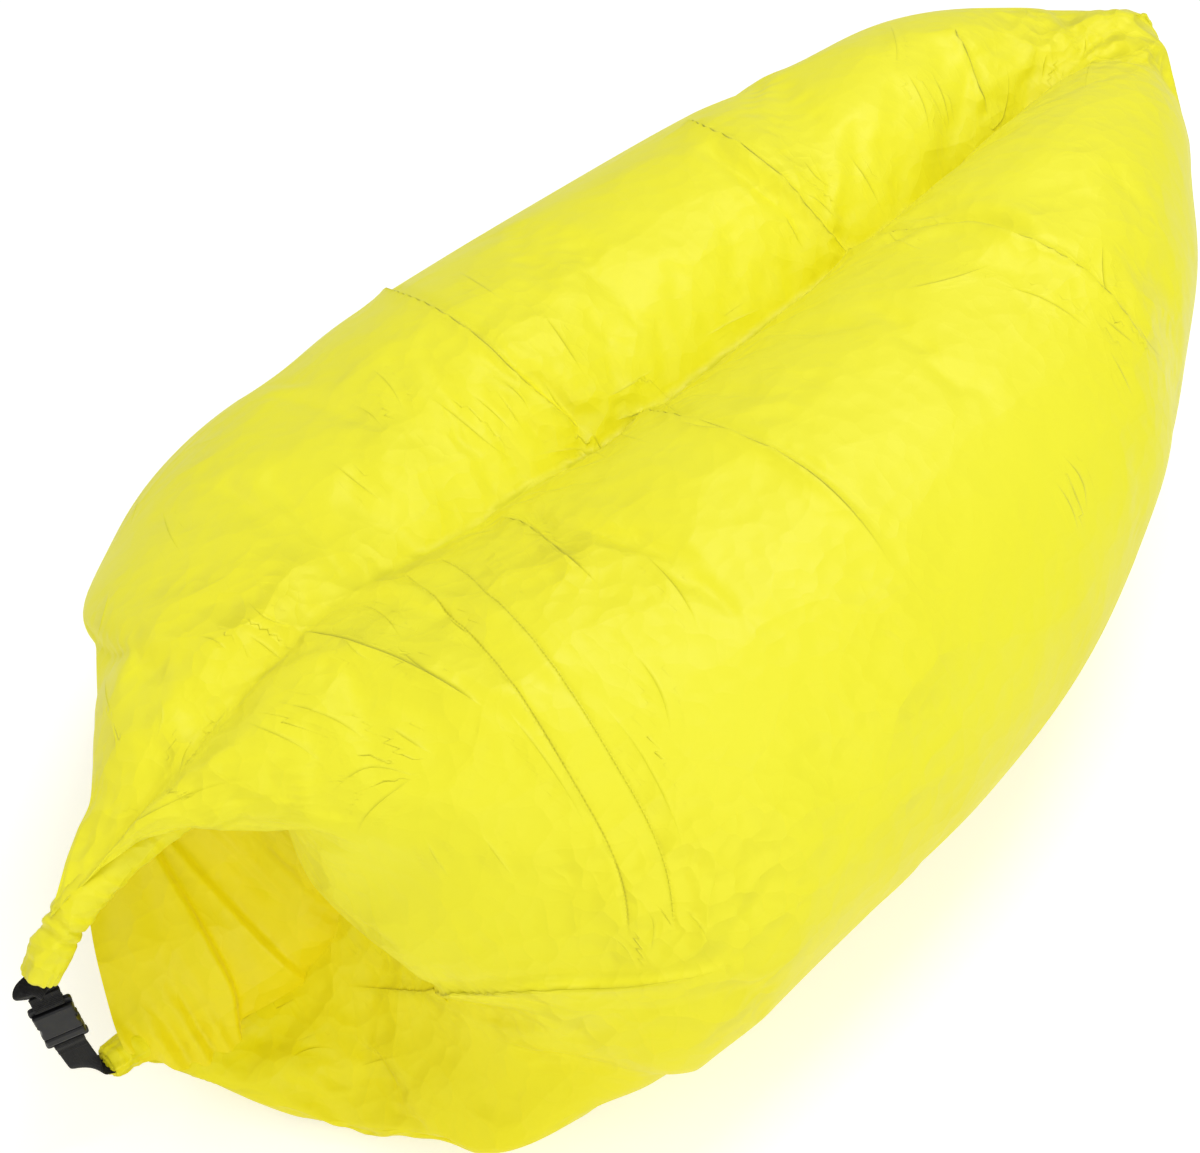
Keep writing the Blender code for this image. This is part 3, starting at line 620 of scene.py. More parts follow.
class Nodes:
    """Short way to add and link shader nodes."""

    def __init__(self, material):
        self.tree = material.node_tree

    def link(self, source, target):
        if isinstance(source, bpy.types.NodeSocket):
            self.tree.links.new(source, target)
        else:
            target.default_value = source

    def add(self, kind, settings=None, **inputs):
        node = self.tree.nodes.new("ShaderNode" + kind)
        for key, value in (settings or {}).items():
            setattr(node, key, value)
        for key, value in inputs.items():
            self.link(value, node.inputs[key.replace("_", " ")])
        return node

    def math(self, operation, *values):
        node = self.add("Math", {"operation": operation})
        for i, value in enumerate(values):
            self.link(value, node.inputs[i])
        return node.outputs[0]

    def times(self, first, second):
        return self.math("MULTIPLY", first, second)

    def plus(self, first, second):
        return self.math("ADD", first, second)

    def bump(self, shader, height, strength=1.0, distance=1.0):
        node = self.add("Bump", Height=height, Strength=strength, Distance=distance)
        self.link(node.outputs[0], shader.inputs["Normal"])

    def spread(self, value, low, high, first, last):
        """Value mapped from low..high to first..last, and held there."""
        node = self.add("MapRange", Value=value)
        for key, number in (("From Min", low), ("From Max", high), ("To Min", first), ("To Max", last)):
            node.inputs[key].default_value = number
        return node.outputs[0]

    def mix(self, share, first, second):
        node = self.add("Mix", {"data_type": "RGBA"})
        for value, place in ((share, 0), (first, 6), (second, 7)):
            self.link(value, node.inputs[place])
        return node.outputs[2]

    def place(self, scale=(1, 1, 1)):
        node = self.add("Mapping", Vector=self.add("TexCoord").outputs["Object"])
        node.inputs["Scale"].default_value = scale
        return node.outputs[0]


def crumple(nodes, place, scale):
    """Height of small flat facets with crisp edges, as on crumpled thin cloth; its slope is about 1."""
    warp = nodes.add("TexNoise", Vector=place, Scale=scale * 0.6, Detail=2.0)
    shift = nodes.add("VectorMath", {"operation": "SCALE"})
    nodes.link(warp.outputs["Color"], shift.inputs[0])
    shift.inputs["Scale"].default_value = 0.9 / scale
    moved = nodes.add("VectorMath", {"operation": "ADD"})
    nodes.link(place, moved.inputs[0])
    nodes.link(shift.outputs[0], moved.inputs[1])
    cells = nodes.add("TexVoronoi", {"feature": "F1"}, Vector=moved.outputs[0], Scale=scale)
    return nodes.times(cells.outputs["Distance"], 1 / scale)


def laid_line(nodes, layer):
    """The three values of a layer of point attributes; for creases: distance across, strength and run."""
    values = nodes.add("Attribute", {"attribute_name": layer}).outputs["Vector"]
    return tuple(nodes.add("SeparateXYZ", Vector=values).outputs)


def fold_height(nodes, layer, sharp, soft, height):
    """Height of a crisp fold: steep on one side of its line and long on the other."""
    side, power, _ = laid_line(nodes, layer)
    steep = nodes.times(side, 1 / sharp)
    long = nodes.times(side, -1 / soft)
    rise = nodes.math("EXPONENT", nodes.math("MINIMUM", steep, long))
    return nodes.times(nodes.times(rise, power), height)


def seam_height(nodes, layer):
    """Height of a flat band between two rows of stitches: a groove along each row, a dent at each stitch."""
    side, power, run = laid_line(nodes, layer)
    off = nodes.math("ABSOLUTE", nodes.math("SUBTRACT", nodes.math("ABSOLUTE", side), band_width / 2))
    groove = nodes.math("EXPONENT", nodes.times(off, -1 / groove_width))
    thread = nodes.math("EXPONENT", nodes.times(off, -1 / thread_width))
    beat = nodes.math("SINE", nodes.times(run, 2 * math.pi / stitch_length))
    stitch = nodes.times(thread, nodes.spread(beat, -0.3, 0.3, 0.0, stitch_height))
    away = nodes.math("ABSOLUTE", side)
    inside = nodes.spread(away, band_width / 2 + 0.001, band_width / 2 - 0.001, 0.0, band_height)
    level = nodes.math("SUBTRACT", inside, nodes.times(groove, groove_depth))
    return nodes.times(nodes.plus(level, stitch), power)


def taffeta(name="yellow_taffeta", colour=(0.925, 0.894, 0.022), painted_shade_colour=(0.925, 0.835, 0.002)):
    """Thin satin-faced nylon taffeta: crisp creases, crumpled facets, pulls along the weave, soft sheen.

    Low down and in crumpled places it turns to the warm colour, painted shade of its shaded lower side and
    of its folds.
    """
    made, shader = new_material(name, colour, 0.5, specular=0.4, sheen=0.05)
    nodes = Nodes(made)
    place = nodes.place()
    patches = nodes.add("TexNoise", Vector=place, Scale=4.5, Detail=3.0).outputs[0]
    crinkle = nodes.add("Attribute", {"attribute_name": "crinkle"}).outputs["Fac"]
    amount = nodes.spread(patches, 0.45, 0.70, 0.04, 0.12)
    amount = nodes.plus(amount, nodes.times(crinkle, 0.24))
    large = crumple(nodes, nodes.place((1.0, 0.75, 1.0)), 16.0)
    small = nodes.times(crumple(nodes, place, 48.0), 0.8)
    height = nodes.times(nodes.plus(large, small), amount)
    pulls = nodes.add("TexNoise", Vector=nodes.place((1.0, 0.16, 1.0)), Scale=190.0, Detail=2.0).outputs[0]
    weave = nodes.add("TexNoise", Vector=place, Scale=1500.0, Detail=1.0).outputs[0]
    reliefs = (
        nodes.times(pulls, 0.00016),
        nodes.times(weave, 0.00002),
        fold_height(nodes, "long_fold", sharp=0.0016, soft=0.010, height=0.0034),
        fold_height(nodes, "short_fold", sharp=0.0014, soft=0.009, height=0.0017),
        seam_height(nodes, "stitched_band"),
    )
    for relief in reliefs:
        height = nodes.plus(height, relief)
    nodes.bump(shader, height)
    shade = nodes.add("TexNoise", Vector=place, Scale=6.0, Detail=4.0).outputs[0]
    red, green, blue = colour
    tint = nodes.mix(shade, (red * 0.98, green * 0.97, blue * 0.8, 1), (red, green, blue * 1.2, 1))
    # Painted shade: the warm colour low down, and up to half of it where the cloth is crumpled
    low = nodes.spread(nodes.add("SeparateXYZ", Vector=place).outputs[2], 0.06, 0.34, 1.0, 0.0)
    painted_shade_share = nodes.math("MAXIMUM", low, nodes.times(crinkle, 0.5))
    nodes.link(nodes.mix(painted_shade_share, tint, (*painted_shade_colour, 1)), shader.inputs["Base Color"])
    nodes.link(nodes.spread(patches, 0.3, 0.7, 0.44, 0.56), shader.inputs["Roughness"])
    shader.inputs["Sheen Roughness"].default_value = 0.45
    return made


def moulded_plastic(name, colour, roughness):
    """Injection-moulded plastic with a fine spark-eroded grain and uneven gloss."""
    made, shader = new_material(name, colour, roughness, specular=0.25)
    nodes = Nodes(made)
    place = nodes.place()
    grain = nodes.add("TexNoise", Vector=place, Scale=2600.0, Detail=2.0).outputs[0]
    flow = nodes.add("TexNoise", Vector=place, Scale=90.0, Detail=3.0).outputs[0]
    nodes.bump(shader, grain, 0.25, 0.0002)
    nodes.link(nodes.spread(flow, 0.3, 0.7, roughness - 0.08, roughness + 0.10), shader.inputs["Roughness"])
    return made


def black_webbing():
    """Ribbed polyester webbing: ribs across it and a chevron of threads on each."""
    made, shader = new_material("black_webbing", (0.006, 0.006, 0.007), 0.75, specular=0.2, sheen=0.05)
    nodes = Nodes(made)
    run, side, _ = laid_line(nodes, "weave")
    rib = nodes.math("ABSOLUTE", nodes.math("SINE", nodes.times(run, math.pi / rib_pitch)))
    lengthwise = nodes.times(run, 2 * math.pi / rib_pitch)
    crosswise = nodes.times(side, 2 * math.pi / thread_pitch)
    thread = nodes.times(nodes.math("SINE", nodes.plus(lengthwise, crosswise)), 0.30)
    height = nodes.times(nodes.plus(rib, thread), 0.00030)
    nodes.bump(shader, height)
    dust = nodes.add("TexNoise", Vector=nodes.place(), Scale=420.0, Detail=3.0).outputs[0]
    dusty = nodes.spread(dust, 0.4, 0.8, 0.0, 1.0)
    tint = nodes.mix(dusty, (0.004, 0.004, 0.005, 1), (0.014, 0.014, 0.015, 1))
    nodes.link(tint, shader.inputs["Base Color"])
    return made


# Creases

def lay_line(tree, pixels, spacing=2.0):
    """Points and normals where the photograph's line falls on the cloth."""
    places, normals = [], []
    for (x0, y0), (x1, y1) in zip(pixels, pixels[1:]):
        steps = max(2, int(math.hypot(x1 - x0, y1 - y0) / spacing))
        for i in range(steps):
            share = i / steps
            origin, direction = camera_ray((blend(x0, x1, share), blend(y0, y1, share)))
            place, normal, _, _ = tree.ray_cast(origin, direction)
            if place is not None:
                places.append(place)
                normals.append(normal)
    return places, normals


def round_corners(pixels, rounds=2):
    for _ in range(rounds):
        made = [pixels[0]]
        for (x0, y0), (x1, y1) in zip(pixels, pixels[1:]):
            made += [(blend(x0, x1, share), blend(y0, y1, share)) for share in (0.25, 0.75)]
        made.append(pixels[-1])
        pixels = made
    return pixels


def crease_profile(kind, side):
    """Height over a crease for a distance across it, in widths; positive is to the right of the line."""
    away = np.abs(side)
    if kind == "valley":
        return -np.exp(-away ** 1.3) + 0.45 * bell((away - 1.7) / 0.8)
    if kind == "ridge":
        return np.exp(-away ** 1.1) - 0.15 * bell(away - 2.0)
    if kind == "fold":
        slope = np.exp(np.where(side < 0, np.minimum(side, 0) * 3.2, -np.maximum(side, 0) / 1.4))
        return slope - 0.35 * bell((side + 0.8) / 0.5)
    if kind == "step":
        return 1 / (1 + np.exp(-side * 4.0)) * np.exp(-np.maximum(side, 0) / 4.0)
    raise ValueError(kind)


def run_along(line):
    return np.concatenate(([0.0], np.cumsum(np.linalg.norm(np.diff(line, axis=0), axis=1))))


def near_line(points, normals, places, facings, reach):
    """Cloth points near a line: their numbers, distance across it and run along it, and its whole length."""
    if len(places) < 6:
        return np.zeros(0, dtype=int), np.zeros(0), np.zeros(0), 1.0
    line = np.array([list(place) for place in places])
    facing = np.array([list(normal) for normal in facings])
    for _ in range(4):
        line[1:-1] = (line[:-2] + 2 * line[1:-1] + line[2:]) / 4
        facing[1:-1] = (facing[:-2] + 2 * facing[1:-1] + facing[2:]) / 4
    facing /= np.linalg.norm(facing, axis=1, keepdims=True)
    run = run_along(line)
    ahead = np.gradient(line, axis=0)
    ahead /= np.maximum(np.linalg.norm(ahead, axis=1, keepdims=True), 1e-9)
    across = np.cross(ahead, facing)
    near = np.where(((points > line.min(0) - reach) & (points < line.max(0) + reach)).all(axis=1))[0]
    found = []
    for start in range(0, len(near), 4000):
        part = near[start:start + 4000]
        gap = points[part][:, None, :] - line[None]
        distance = (gap ** 2).sum(2)
        nearest = distance.argmin(1)
        rank = np.arange(len(part))
        side = (gap[rank, nearest] * across[nearest]).sum(1)
        past = (gap[rank, nearest] * ahead[nearest]).sum(1)
        fits = (distance[rank, nearest] < reach ** 2) & ((normals[part] * facing[nearest]).sum(1) > 0.1)
        found.append(np.stack([part, side, run[nearest] + past])[:, fits])
    numbers, sides, runs = np.concatenate(found, axis=1) if found else np.zeros((3, 0))
    return numbers.astype(int), sides, runs, run[-1]


def line_strength(runs, whole, fade):
    share = runs / whole
    return smooth(0, fade[0], share) * (1 - smooth(1 - fade[1], 1, share))


def press_crease(lift, near, kind, width, height, fade):
    """Adds a crease to lift, the height of each cloth point along its normal."""
    numbers, sides, runs, whole = near
    side = sides / width
    window = bell(np.maximum(np.abs(side) - 2.5, 0) / 1.2)
    lift[numbers] += line_strength(runs, whole, fade) * window * height * crease_profile(kind, side)


def draw_line(layer, near, fade, reach):
    """Writes a line into a layer: distance across, strength and run for each cloth point near it."""
    numbers, sides, runs, whole = near
    closer = np.abs(sides) < np.abs(layer[numbers, 0])
    numbers, sides, runs = numbers[closer], sides[closer], runs[closer]
    strength = line_strength(runs, whole, fade) * (1 - smooth(reach * 0.55, reach * 0.9, np.abs(sides)))
    layer[numbers] = np.stack([sides, strength, runs], axis=1)


def set_layer(mesh, name, values):
    """Stores a vector or a number for each point of a mesh."""
    kind, field = ("FLOAT_VECTOR", "vector") if values.ndim == 2 else ("FLOAT", "value")
    mesh.attributes.new(name, kind, "POINT").data.foreach_set(field, values.ravel())


# Main creases of the photograph: kind, width and height in metres, fades, fades of its crisp fold, pixels
main_creases = (
    ("fold", 0.012, 0.008, (0.02, 0.05), (0.02, 0.05), (
        (385, 292), (430, 308), (480, 342), (530, 385), (584, 432))),
    ("valley", 0.014, 0.008, (0.3, 0.05), None, ((470, 350), (520, 378), (560, 405), (590, 428))),
    ("fold", 0.012, 0.008, (0.02, 0.05), (0.02, 0.05), (
        (690, 124), (735, 145), (780, 180), (815, 220), (850, 256))),
    ("valley", 0.012, 0.007, (0.2, 0.05), None, ((700, 140), (765, 190), (820, 235), (850, 254))),
    ("fold", 0.012, 0.008, (0.05, 0.2), (0.05, 0.2), ((950, 30), (965, 55), (975, 85), (988, 118))),
    ("fold", 0.014, 0.008, (0.05, 0.3), (0.05, 0.3), (
        (612, 421), (635, 416), (667, 417), (730, 435), (797, 465), (860, 520), (905, 585))),
    ("fold", 0.014, 0.008, (0.05, 0.3), (0.05, 0.3), (
        (852, 255), (900, 232), (960, 225), (1030, 240), (1100, 285), (1165, 370))),
    ("valley", 0.012, 0.005, (0.1, 0.3), None, ((880, 246), (930, 225), (985, 222), (1050, 236))),
    ("ridge", 0.010, 0.005, (0.3, 0.3), (0.2, 0.3), ((499, 516), (530, 530), (570, 560), (606, 592))),
    ("valley", 0.010, 0.005, (0.3, 0.3), None, ((512, 508), (550, 532), (595, 572))),
    ("step", 0.008, 0.0035, (0.05, 0.2), (0.1, 0.2), ((300, 632), (350, 640), (420, 668), (491, 712))),
    ("fold", 0.012, 0.006, (0.2, 0.3), (0.2, 0.3), (
        (330, 985), (400, 990), (464, 989), (585, 986), (650, 983), (713, 973), (770, 945))),
    ("fold", 0.011, 0.009, (0.1, 0.1), (0.1, 0.1), (
        (175, 1064), (210, 1043), (244, 1025), (270, 1003), (296, 980), (310, 960), (322, 938), (325, 914))),
)
# How far from its line a crisp fold, a short crease and the flat band are drawn
long_reach = 0.040
short_reach = 0.016
short_fade = (0.4, 0.5)
band_reach = 0.045
band_fade = (0.04, 0.06)
# Least share of untouched cloth along a short crease
short_free_share = 0.7

# Short crinkles: middle and spread in pixels, direction in degrees, its spread, length, how many
crinkles = (
    ((250, 640), (60, 40), 35, 18, 70, 7),
    ((540, 400), (60, 40), 42, 12, 80, 6),
    ((800, 215), (60, 40), 48, 12, 80, 6),
    ((930, 240), (70, 25), 10, 20, 70, 6),
    ((660, 430), (70, 25), 12, 20, 70, 6),
    ((560, 560), (60, 50), 45, 14, 70, 7),
    ((400, 650), (80, 40), 25, 15, 80, 6),
    ((1090, 70), (60, 40), 125, 25, 60, 7),
    ((930, 70), (70, 50), 65, 15, 80, 5),
    ((1120, 330), (50, 60), 55, 15, 80, 5),
    ((690, 920), (60, 40), 75, 30, 60, 9),
    ((640, 700), (110, 120), 62, 8, 110, 6),
    ((480, 860), (70, 60), 60, 20, 60, 5),
    ((330, 1060), (90, 25), 15, 25, 70, 7),
    ((220, 760), (60, 40), 110, 18, 80, 6),
    ((130, 730), (30, 60), 95, 15, 70, 5),
    ((160, 560), (50, 50), 50, 15, 70, 4),
    ((390, 420), (60, 50), 55, 15, 80, 4),
    ((1080, 500), (50, 60), 65, 12, 90, 4),
)

# Fine creases of the photograph: pixels
fine_folds = (
    ((100, 845), (150, 812), (215, 784), (262, 777)), ((161, 811), (225, 795), (282, 784)),
    ((323, 801), (350, 775), (376, 764), (437, 784)), ((356, 838), (366, 812), (424, 770)),
    ((410, 784), (425, 812), (444, 845)), ((424, 797), (436, 810), (448, 818)),
    ((383, 723), (410, 742), (437, 757)), ((329, 461), (360, 486), (390, 508)),
    ((424, 393), (460, 420), (491, 447), (525, 468)), ((148, 481), (136, 505), (127, 535)),
    ((110, 589), (100, 625), (90, 670)), ((198, 636), (215, 640), (230, 652)),
    ((222, 672), (228, 655), (245, 645)), ((517, 462), (550, 452), (585, 448), (615, 462)),
    ((640, 550), (680, 590), (705, 640)), ((600, 700), (640, 750), (680, 830), (690, 880)),
    ((500, 700), (560, 780), (600, 850)), ((1000, 285), (1050, 300), (1095, 335)),
    ((900, 290), (950, 280), (1000, 262)), ((1005, 60), (1010, 90), (1000, 130)),
    ((1085, 35), (1085, 50), (1082, 62)), ((930, 70), (945, 100), (950, 135)),
    ((905, 70), (925, 105), (930, 140)), ((845, 150), (870, 185), (885, 220)),
    ((540, 310), (565, 345), (590, 385)), ((455, 270), (480, 285), (510, 305)),
    ((600, 400), (625, 390), (660, 365)), ((700, 340), (735, 320), (770, 305)),
    ((270, 700), (330, 715), (380, 750)), ((240, 720), (300, 745), (330, 770)),
    ((645, 905), (655, 925), (650, 955)), ((680, 905), (700, 925), (712, 950)),
    ((600, 930), (625, 945), (640, 975)), ((700, 880), (720, 900), (722, 930)),
)

fold_layers = ("long_fold", "short_fold", "stitched_band")

# Middle line of the flat band
band_line = ((421, 563), (455, 590), (500, 632), (545, 690), (590, 765), (628, 830), (648, 884), (652, 940))

# Places where the cloth is more crumpled, which also get more of the painted warm shade: pixel, reach in
# metres, strength
crumpled_places = (
    ((250, 640), 0.10, 0.6), ((584, 432), 0.10, 0.5), ((850, 256), 0.10, 0.5), ((1110, 45), 0.13, 0.8),
    ((680, 930), 0.12, 0.6), ((560, 1000), 0.10, 0.5), ((320, 890), 0.07, 0.4), ((200, 810), 0.09, 0.5),
    ((100, 820), 0.10, 0.6), ((350, 1080), 0.12, 0.25), ((1150, 330), 0.12, 0.4), ((560, 560), 0.10, 0.5),
    ((480, 700), 0.10, 0.3), ((900, 640), 0.14, 0.25),
)
# How crumpled the cloth is beside the valley and at the foot, and over which share of the end rows
crumpled_seam = 0.5
crumpled_seam_width = 0.05
crumpled_end_share = 0.35

make_camera()
make_light()
make_floor()
cloth = taffeta()
# The fan's cloth is the same taffeta in a more orange colour: painted shade of the cloth deep in the loop
shaded_inner_cloth = taffeta("shaded_inner_taffeta", (0.935, 0.845, 0.004), (0.930, 0.800, 0.002))
plastic = moulded_plastic("black_plastic", (0.005, 0.005, 0.006), 0.34)
strip_plastic = moulded_plastic("strip_plastic", (0.60, 0.60, 0.56), 0.45)
webbing_cloth = black_webbing()


def random_crinkles():
    """Short lines scattered about their middles, always the same ones."""
    rng = np.random.default_rng(7)
    lines = []
    for (x, y), (wide, tall), direction, turn, length, count in crinkles:
        for _ in range(count):
            middle = np.array((x, y)) + rng.normal(size=2) * (wide / 2, tall / 2)
            angle = math.radians(direction + rng.normal() * turn)
            reach = length * rng.uniform(0.5, 1.0) / 2
            way = np.array((math.cos(angle), math.sin(angle))) * reach
            bend = np.array((-way[1], way[0])) * rng.uniform(-0.35, 0.35)
            lines.append([tuple(middle - way), tuple(middle + bend), tuple(middle + way)])
    return lines


def crumpled_level(tree, points, shape):
    """How crumpled each cloth point is: at the places marked, along the valley and at both ends."""
    level = crumpled_seam * np.exp(-np.abs(points[:, 0]) / crumpled_seam_width)
    for pixel, reach, strength in crumpled_places:
        place = tree.ray_cast(*camera_ray(pixel))[0]
        if place is not None:
            away = np.linalg.norm(points - np.array(place), axis=1)
            level = np.maximum(level, strength * bell(away / reach))
    rows = np.repeat(np.arange(shape[0]), shape[1])
    level = np.maximum(level, crumpled_seam * (1 - smooth(0, foot_rows * crumpled_end_share, rows)))
    return np.maximum(level, smooth(shape[0] - head_rows * crumpled_end_share, shape[0], rows))


def make_bag():
    """The inflated cloth as one skin, with its creases pressed in and its fine folds drawn onto it."""
    loops = bag_loops()
    loops = loops + inflate(loops)
    loops = shift_outline(loops)
    base = grid_object("crease_guide", loops, None)
    tree = BVHTree.FromObject(base, bpy.context.evaluated_depsgraph_get())
    bpy.data.objects.remove(base)
    normals = grid_normals(loops)
    if (normals[:, :, 2] * (loops[:, :, 2] - 0.2)).sum() < 0:
        normals = -normals
    points = loops.reshape(-1, 3)
    flat_normals = normals.reshape(-1, 3)

    def near(pixels, reach):
        return near_line(points, flat_normals, *lay_line(tree, round_corners(pixels)), reach)

    lift = np.zeros(len(points))
    layers = {name: np.tile((1.0, 0.0, 0.0), (len(points), 1)) for name in fold_layers}
    for kind, width, height, fade, crisp_fade, pixels in main_creases:
        press_crease(lift, near(pixels, 4.5 * width), kind, width, height, fade)
        if crisp_fade:
            draw_line(layers["long_fold"], near(pixels, long_reach), crisp_fade, long_reach)
    for pixels in list(fine_folds) + random_crinkles():
        found = near(pixels, short_reach)
        if (layers["short_fold"][found[0], 0] == 1.0).mean() > short_free_share:
            draw_line(layers["short_fold"], found, short_fade, short_reach)
    draw_line(layers["stitched_band"], near(band_line, band_reach), band_fade, band_reach)
    crinkle = crumpled_level(tree, points, loops.shape)
    points = points + flat_normals * lift[:, None]
    points[:, 2] = np.maximum(points[:, 2], 0.0)
    made = grid_object("air_bag", points.reshape(loops.shape), cloth)
    for name, layer in layers.items():
        set_layer(made.data, name, layer)
    set_layer(made.data, "crinkle", crinkle)
    return made


# Rolled mouth

def line_frames(line):
    """Points, tangents and in-plane squares of a line in the middle plane, as arrays."""
    ahead = np.array([list(t) for t in tangents(line)])
    square = np.stack([np.zeros(len(line)), -ahead[:, 2], ahead[:, 1]], axis=1)
    return np.array([list(point) for point in line]), ahead, square


def make_roll():
    """Cloth wound round the strips: a lap along it, wrung wrinkles, cross seams and gathered spiral ends."""
    count, around, closing = 280, 96, 12
    line = loop_line()
    line = [line[0] + (line[0] - line[1]).normalized() * roll_cuff] + line
    line = resample(line + [line[-1] + (line[-1] - line[-2]).normalized() * roll_cuff], count)
    centre, ahead, square = line_frames(line)
    run = run_along(centre)
    theta = np.linspace(0, 2 * np.pi, around, endpoint=False)[None]
    s = run[:, None]
    end = np.minimum(s, run[-1] - s)
    swell = 1 + roll_lap * ((theta / (2 * np.pi) + 0.62 + 0.15 * np.sin(s * 9)) % 1.0) - 0.06
    rng = np.random.default_rng(3)
    for length, turns, height in roll_wrinkles:
        wander = rng.uniform(0, 6.28, 3)
        wave = np.sin(2 * np.pi * s / length + turns * theta + wander[0] + 1.3 * np.sin(s * 40 + wander[1]))
        patch = 0.5 + 0.5 * np.sin(s * 55 + theta + wander[2])
        swell = swell + height * wave * patch
    gathers = np.cos(11 * theta + 2 * np.sin(3 * theta)) * np.exp(-end / roll_gather_length)
    swell = swell + roll_gather * gathers
    for place in roll_seams:
        off = (s - place - 0.003 * np.sin(theta)) / roll_seam_width
        swell = swell - roll_seam_share * bell(off)
    swell = swell * (1 - roll_pinch * np.exp(-end / roll_pinch_length))
    out = np.stack([np.cos(theta).repeat(count, 0) * swell * roll_width / 2,
                    np.sin(theta).repeat(count, 0) * swell * roll_depth / 2 * 0.96], axis=2)
    across = np.array((1.0, 0.0, 0.0))
    rows = centre[:, None] + out[:, :, :1] * across + out[:, :, 1:] * square[:, None]
    caps = []
    for index, way in ((0, -1), (count - 1, 1)):
        cap = []
        for i in range(1, closing + 1):
            share = 1 - i / (closing + 0.5)
            bulge = 0.004 * math.sqrt(1 - share ** 2)
            spiral = 0.0016 * np.cos(2 * np.pi * (share * 3.2) - theta[0]) * min(1, 6 * share * (1 - share))
            ring = centre[index] + share * (rows[index] - centre[index])
            cap.append(ring + ahead[index] * way * (bulge + spiral)[:, None])
        caps.append(cap)
    grid = np.stack(caps[0][::-1] + list(rows) + caps[1])
    made = grid_object("rolled_mouth", grid, cloth)
    set_layer(made.data, "crinkle", np.full(grid[..., 0].size, roll_crinkle))
    return made


# Folded cloth that fans out over the roll's lower arm

def curve_points(keys, count):
    """Points on a smooth curve through keys, at equal steps of its parameter."""
    keys = np.array(keys, dtype=float)
    padded = np.concatenate([2 * keys[:1] - keys[1:2], keys, 2 * keys[-1:] - keys[-2:-1]])
    t = np.linspace(0, len(keys) - 1, count)
    low = np.minimum(t.astype(int), len(keys) - 2)
    t = (t - low)[:, None]
    a, b, c, d = (padded[low + k] for k in range(4))
    return between(a, b, c, d, t)


def make_fan():
    """Panels of slack cloth inside the loop, folded over each other and gathered at one side."""
    wide, tall = 220, 120
    low, middle, high = (curve_points(keys, wide)[:, None] for keys in (fan_low, fan_middle, fan_high))
    u = np.linspace(0, 1, wide)[:, None]
    v = np.linspace(0, 1, tall)[None]
    up = v[..., None]
    grid = low * (1 - up) * (1 - 2 * up) + middle * (4 * up * (1 - up)) + high * up * (2 * up - 1)
    lift = np.zeros((wide, tall))
    for place, slant, curve, height, rise in fan_folds:
        side = u - place - slant * (v - 0.5) - curve * (1 - smooth(0.0, 0.3, v))
        drop = 1 / (1 + np.exp(np.clip(side / fan_drop, -30, 30)))
        lift += height * drop * np.exp(np.minimum(side, 0) / rise)
    gather = smooth(0.80, 0.95, u) * 0.0022 * np.sin(2 * np.pi * (u * 14 + 2.2 * v + 0.3 * np.sin(5 * v)))
    rays = 0.0036 * np.sin(2 * np.pi * (u * 8 + 0.9 * v))
    rays = rays * (1 - smooth(0.1, 0.6, v)) * (1 - smooth(0.3, 0.5, u))
    wander = 0.0020 * np.sin(9 * v + 7 * u) + 0.0012 * np.sin(19 * u - 6 * v + 1)
    lift = lift + gather + rays + wander
    du, dv = np.gradient(grid, axis=0), np.gradient(grid, axis=1)
    normal = np.cross(du, dv)
    normal /= np.linalg.norm(normal, axis=2, keepdims=True)
    if normal[:, :, 2].mean() < 0:
        normal = -normal
    grid = grid + normal * lift[..., None]
    # Its cloth is the more orange copy of the taffeta, painted shade
    made = grid_object("fan_folds", grid, shaded_inner_cloth, closed=False)
    set_layer(made.data, "crinkle", np.full(wide * tall, fan_crinkle))
    return made


# Webbing

def wrap_points(bar, way):
    """The webbing's line round a buckle's bar, from the end it hangs by to its sewn-back end."""
    centre = buckle_origin + Vector((0, 0, bar))
    wrap = math.hypot(bar_thickness, bar_height) / 2 + webbing_thickness / 2
    ply = webbing_thickness / 2 + 0.0001
    meet = fold_back * 0.6
    places = [(-ply, fold_back + ply), (-ply, meet), (-wrap * 0.94, wrap * 0.9), (-wrap, 0.0)]
    for i in range(1, 6):
        angle = math.pi * i / 6
        places.append((-wrap * math.cos(angle), -wrap * math.sin(angle)))
    places += [(wrap, 0.0), (wrap * 0.94, wrap * 0.9), (ply, meet), (ply, fold_back)]
    return [centre + buckle_through * a + Vector((0, 0, b * way)) for a, b in places]


def close_ends(made, around):
    """Closes both ends of a tube whose rows have that many points."""
    work = bmesh.new()
    work.from_mesh(made.data)
    work.verts.ensure_lookup_table()
    work.faces.new(work.verts[:around][::-1])
    work.faces.new(work.verts[-around:])
    bmesh.ops.recalc_face_normals(work, faces=work.faces)
    work.to_mesh(made.data)
    work.free()
    made.data.shade_smooth()


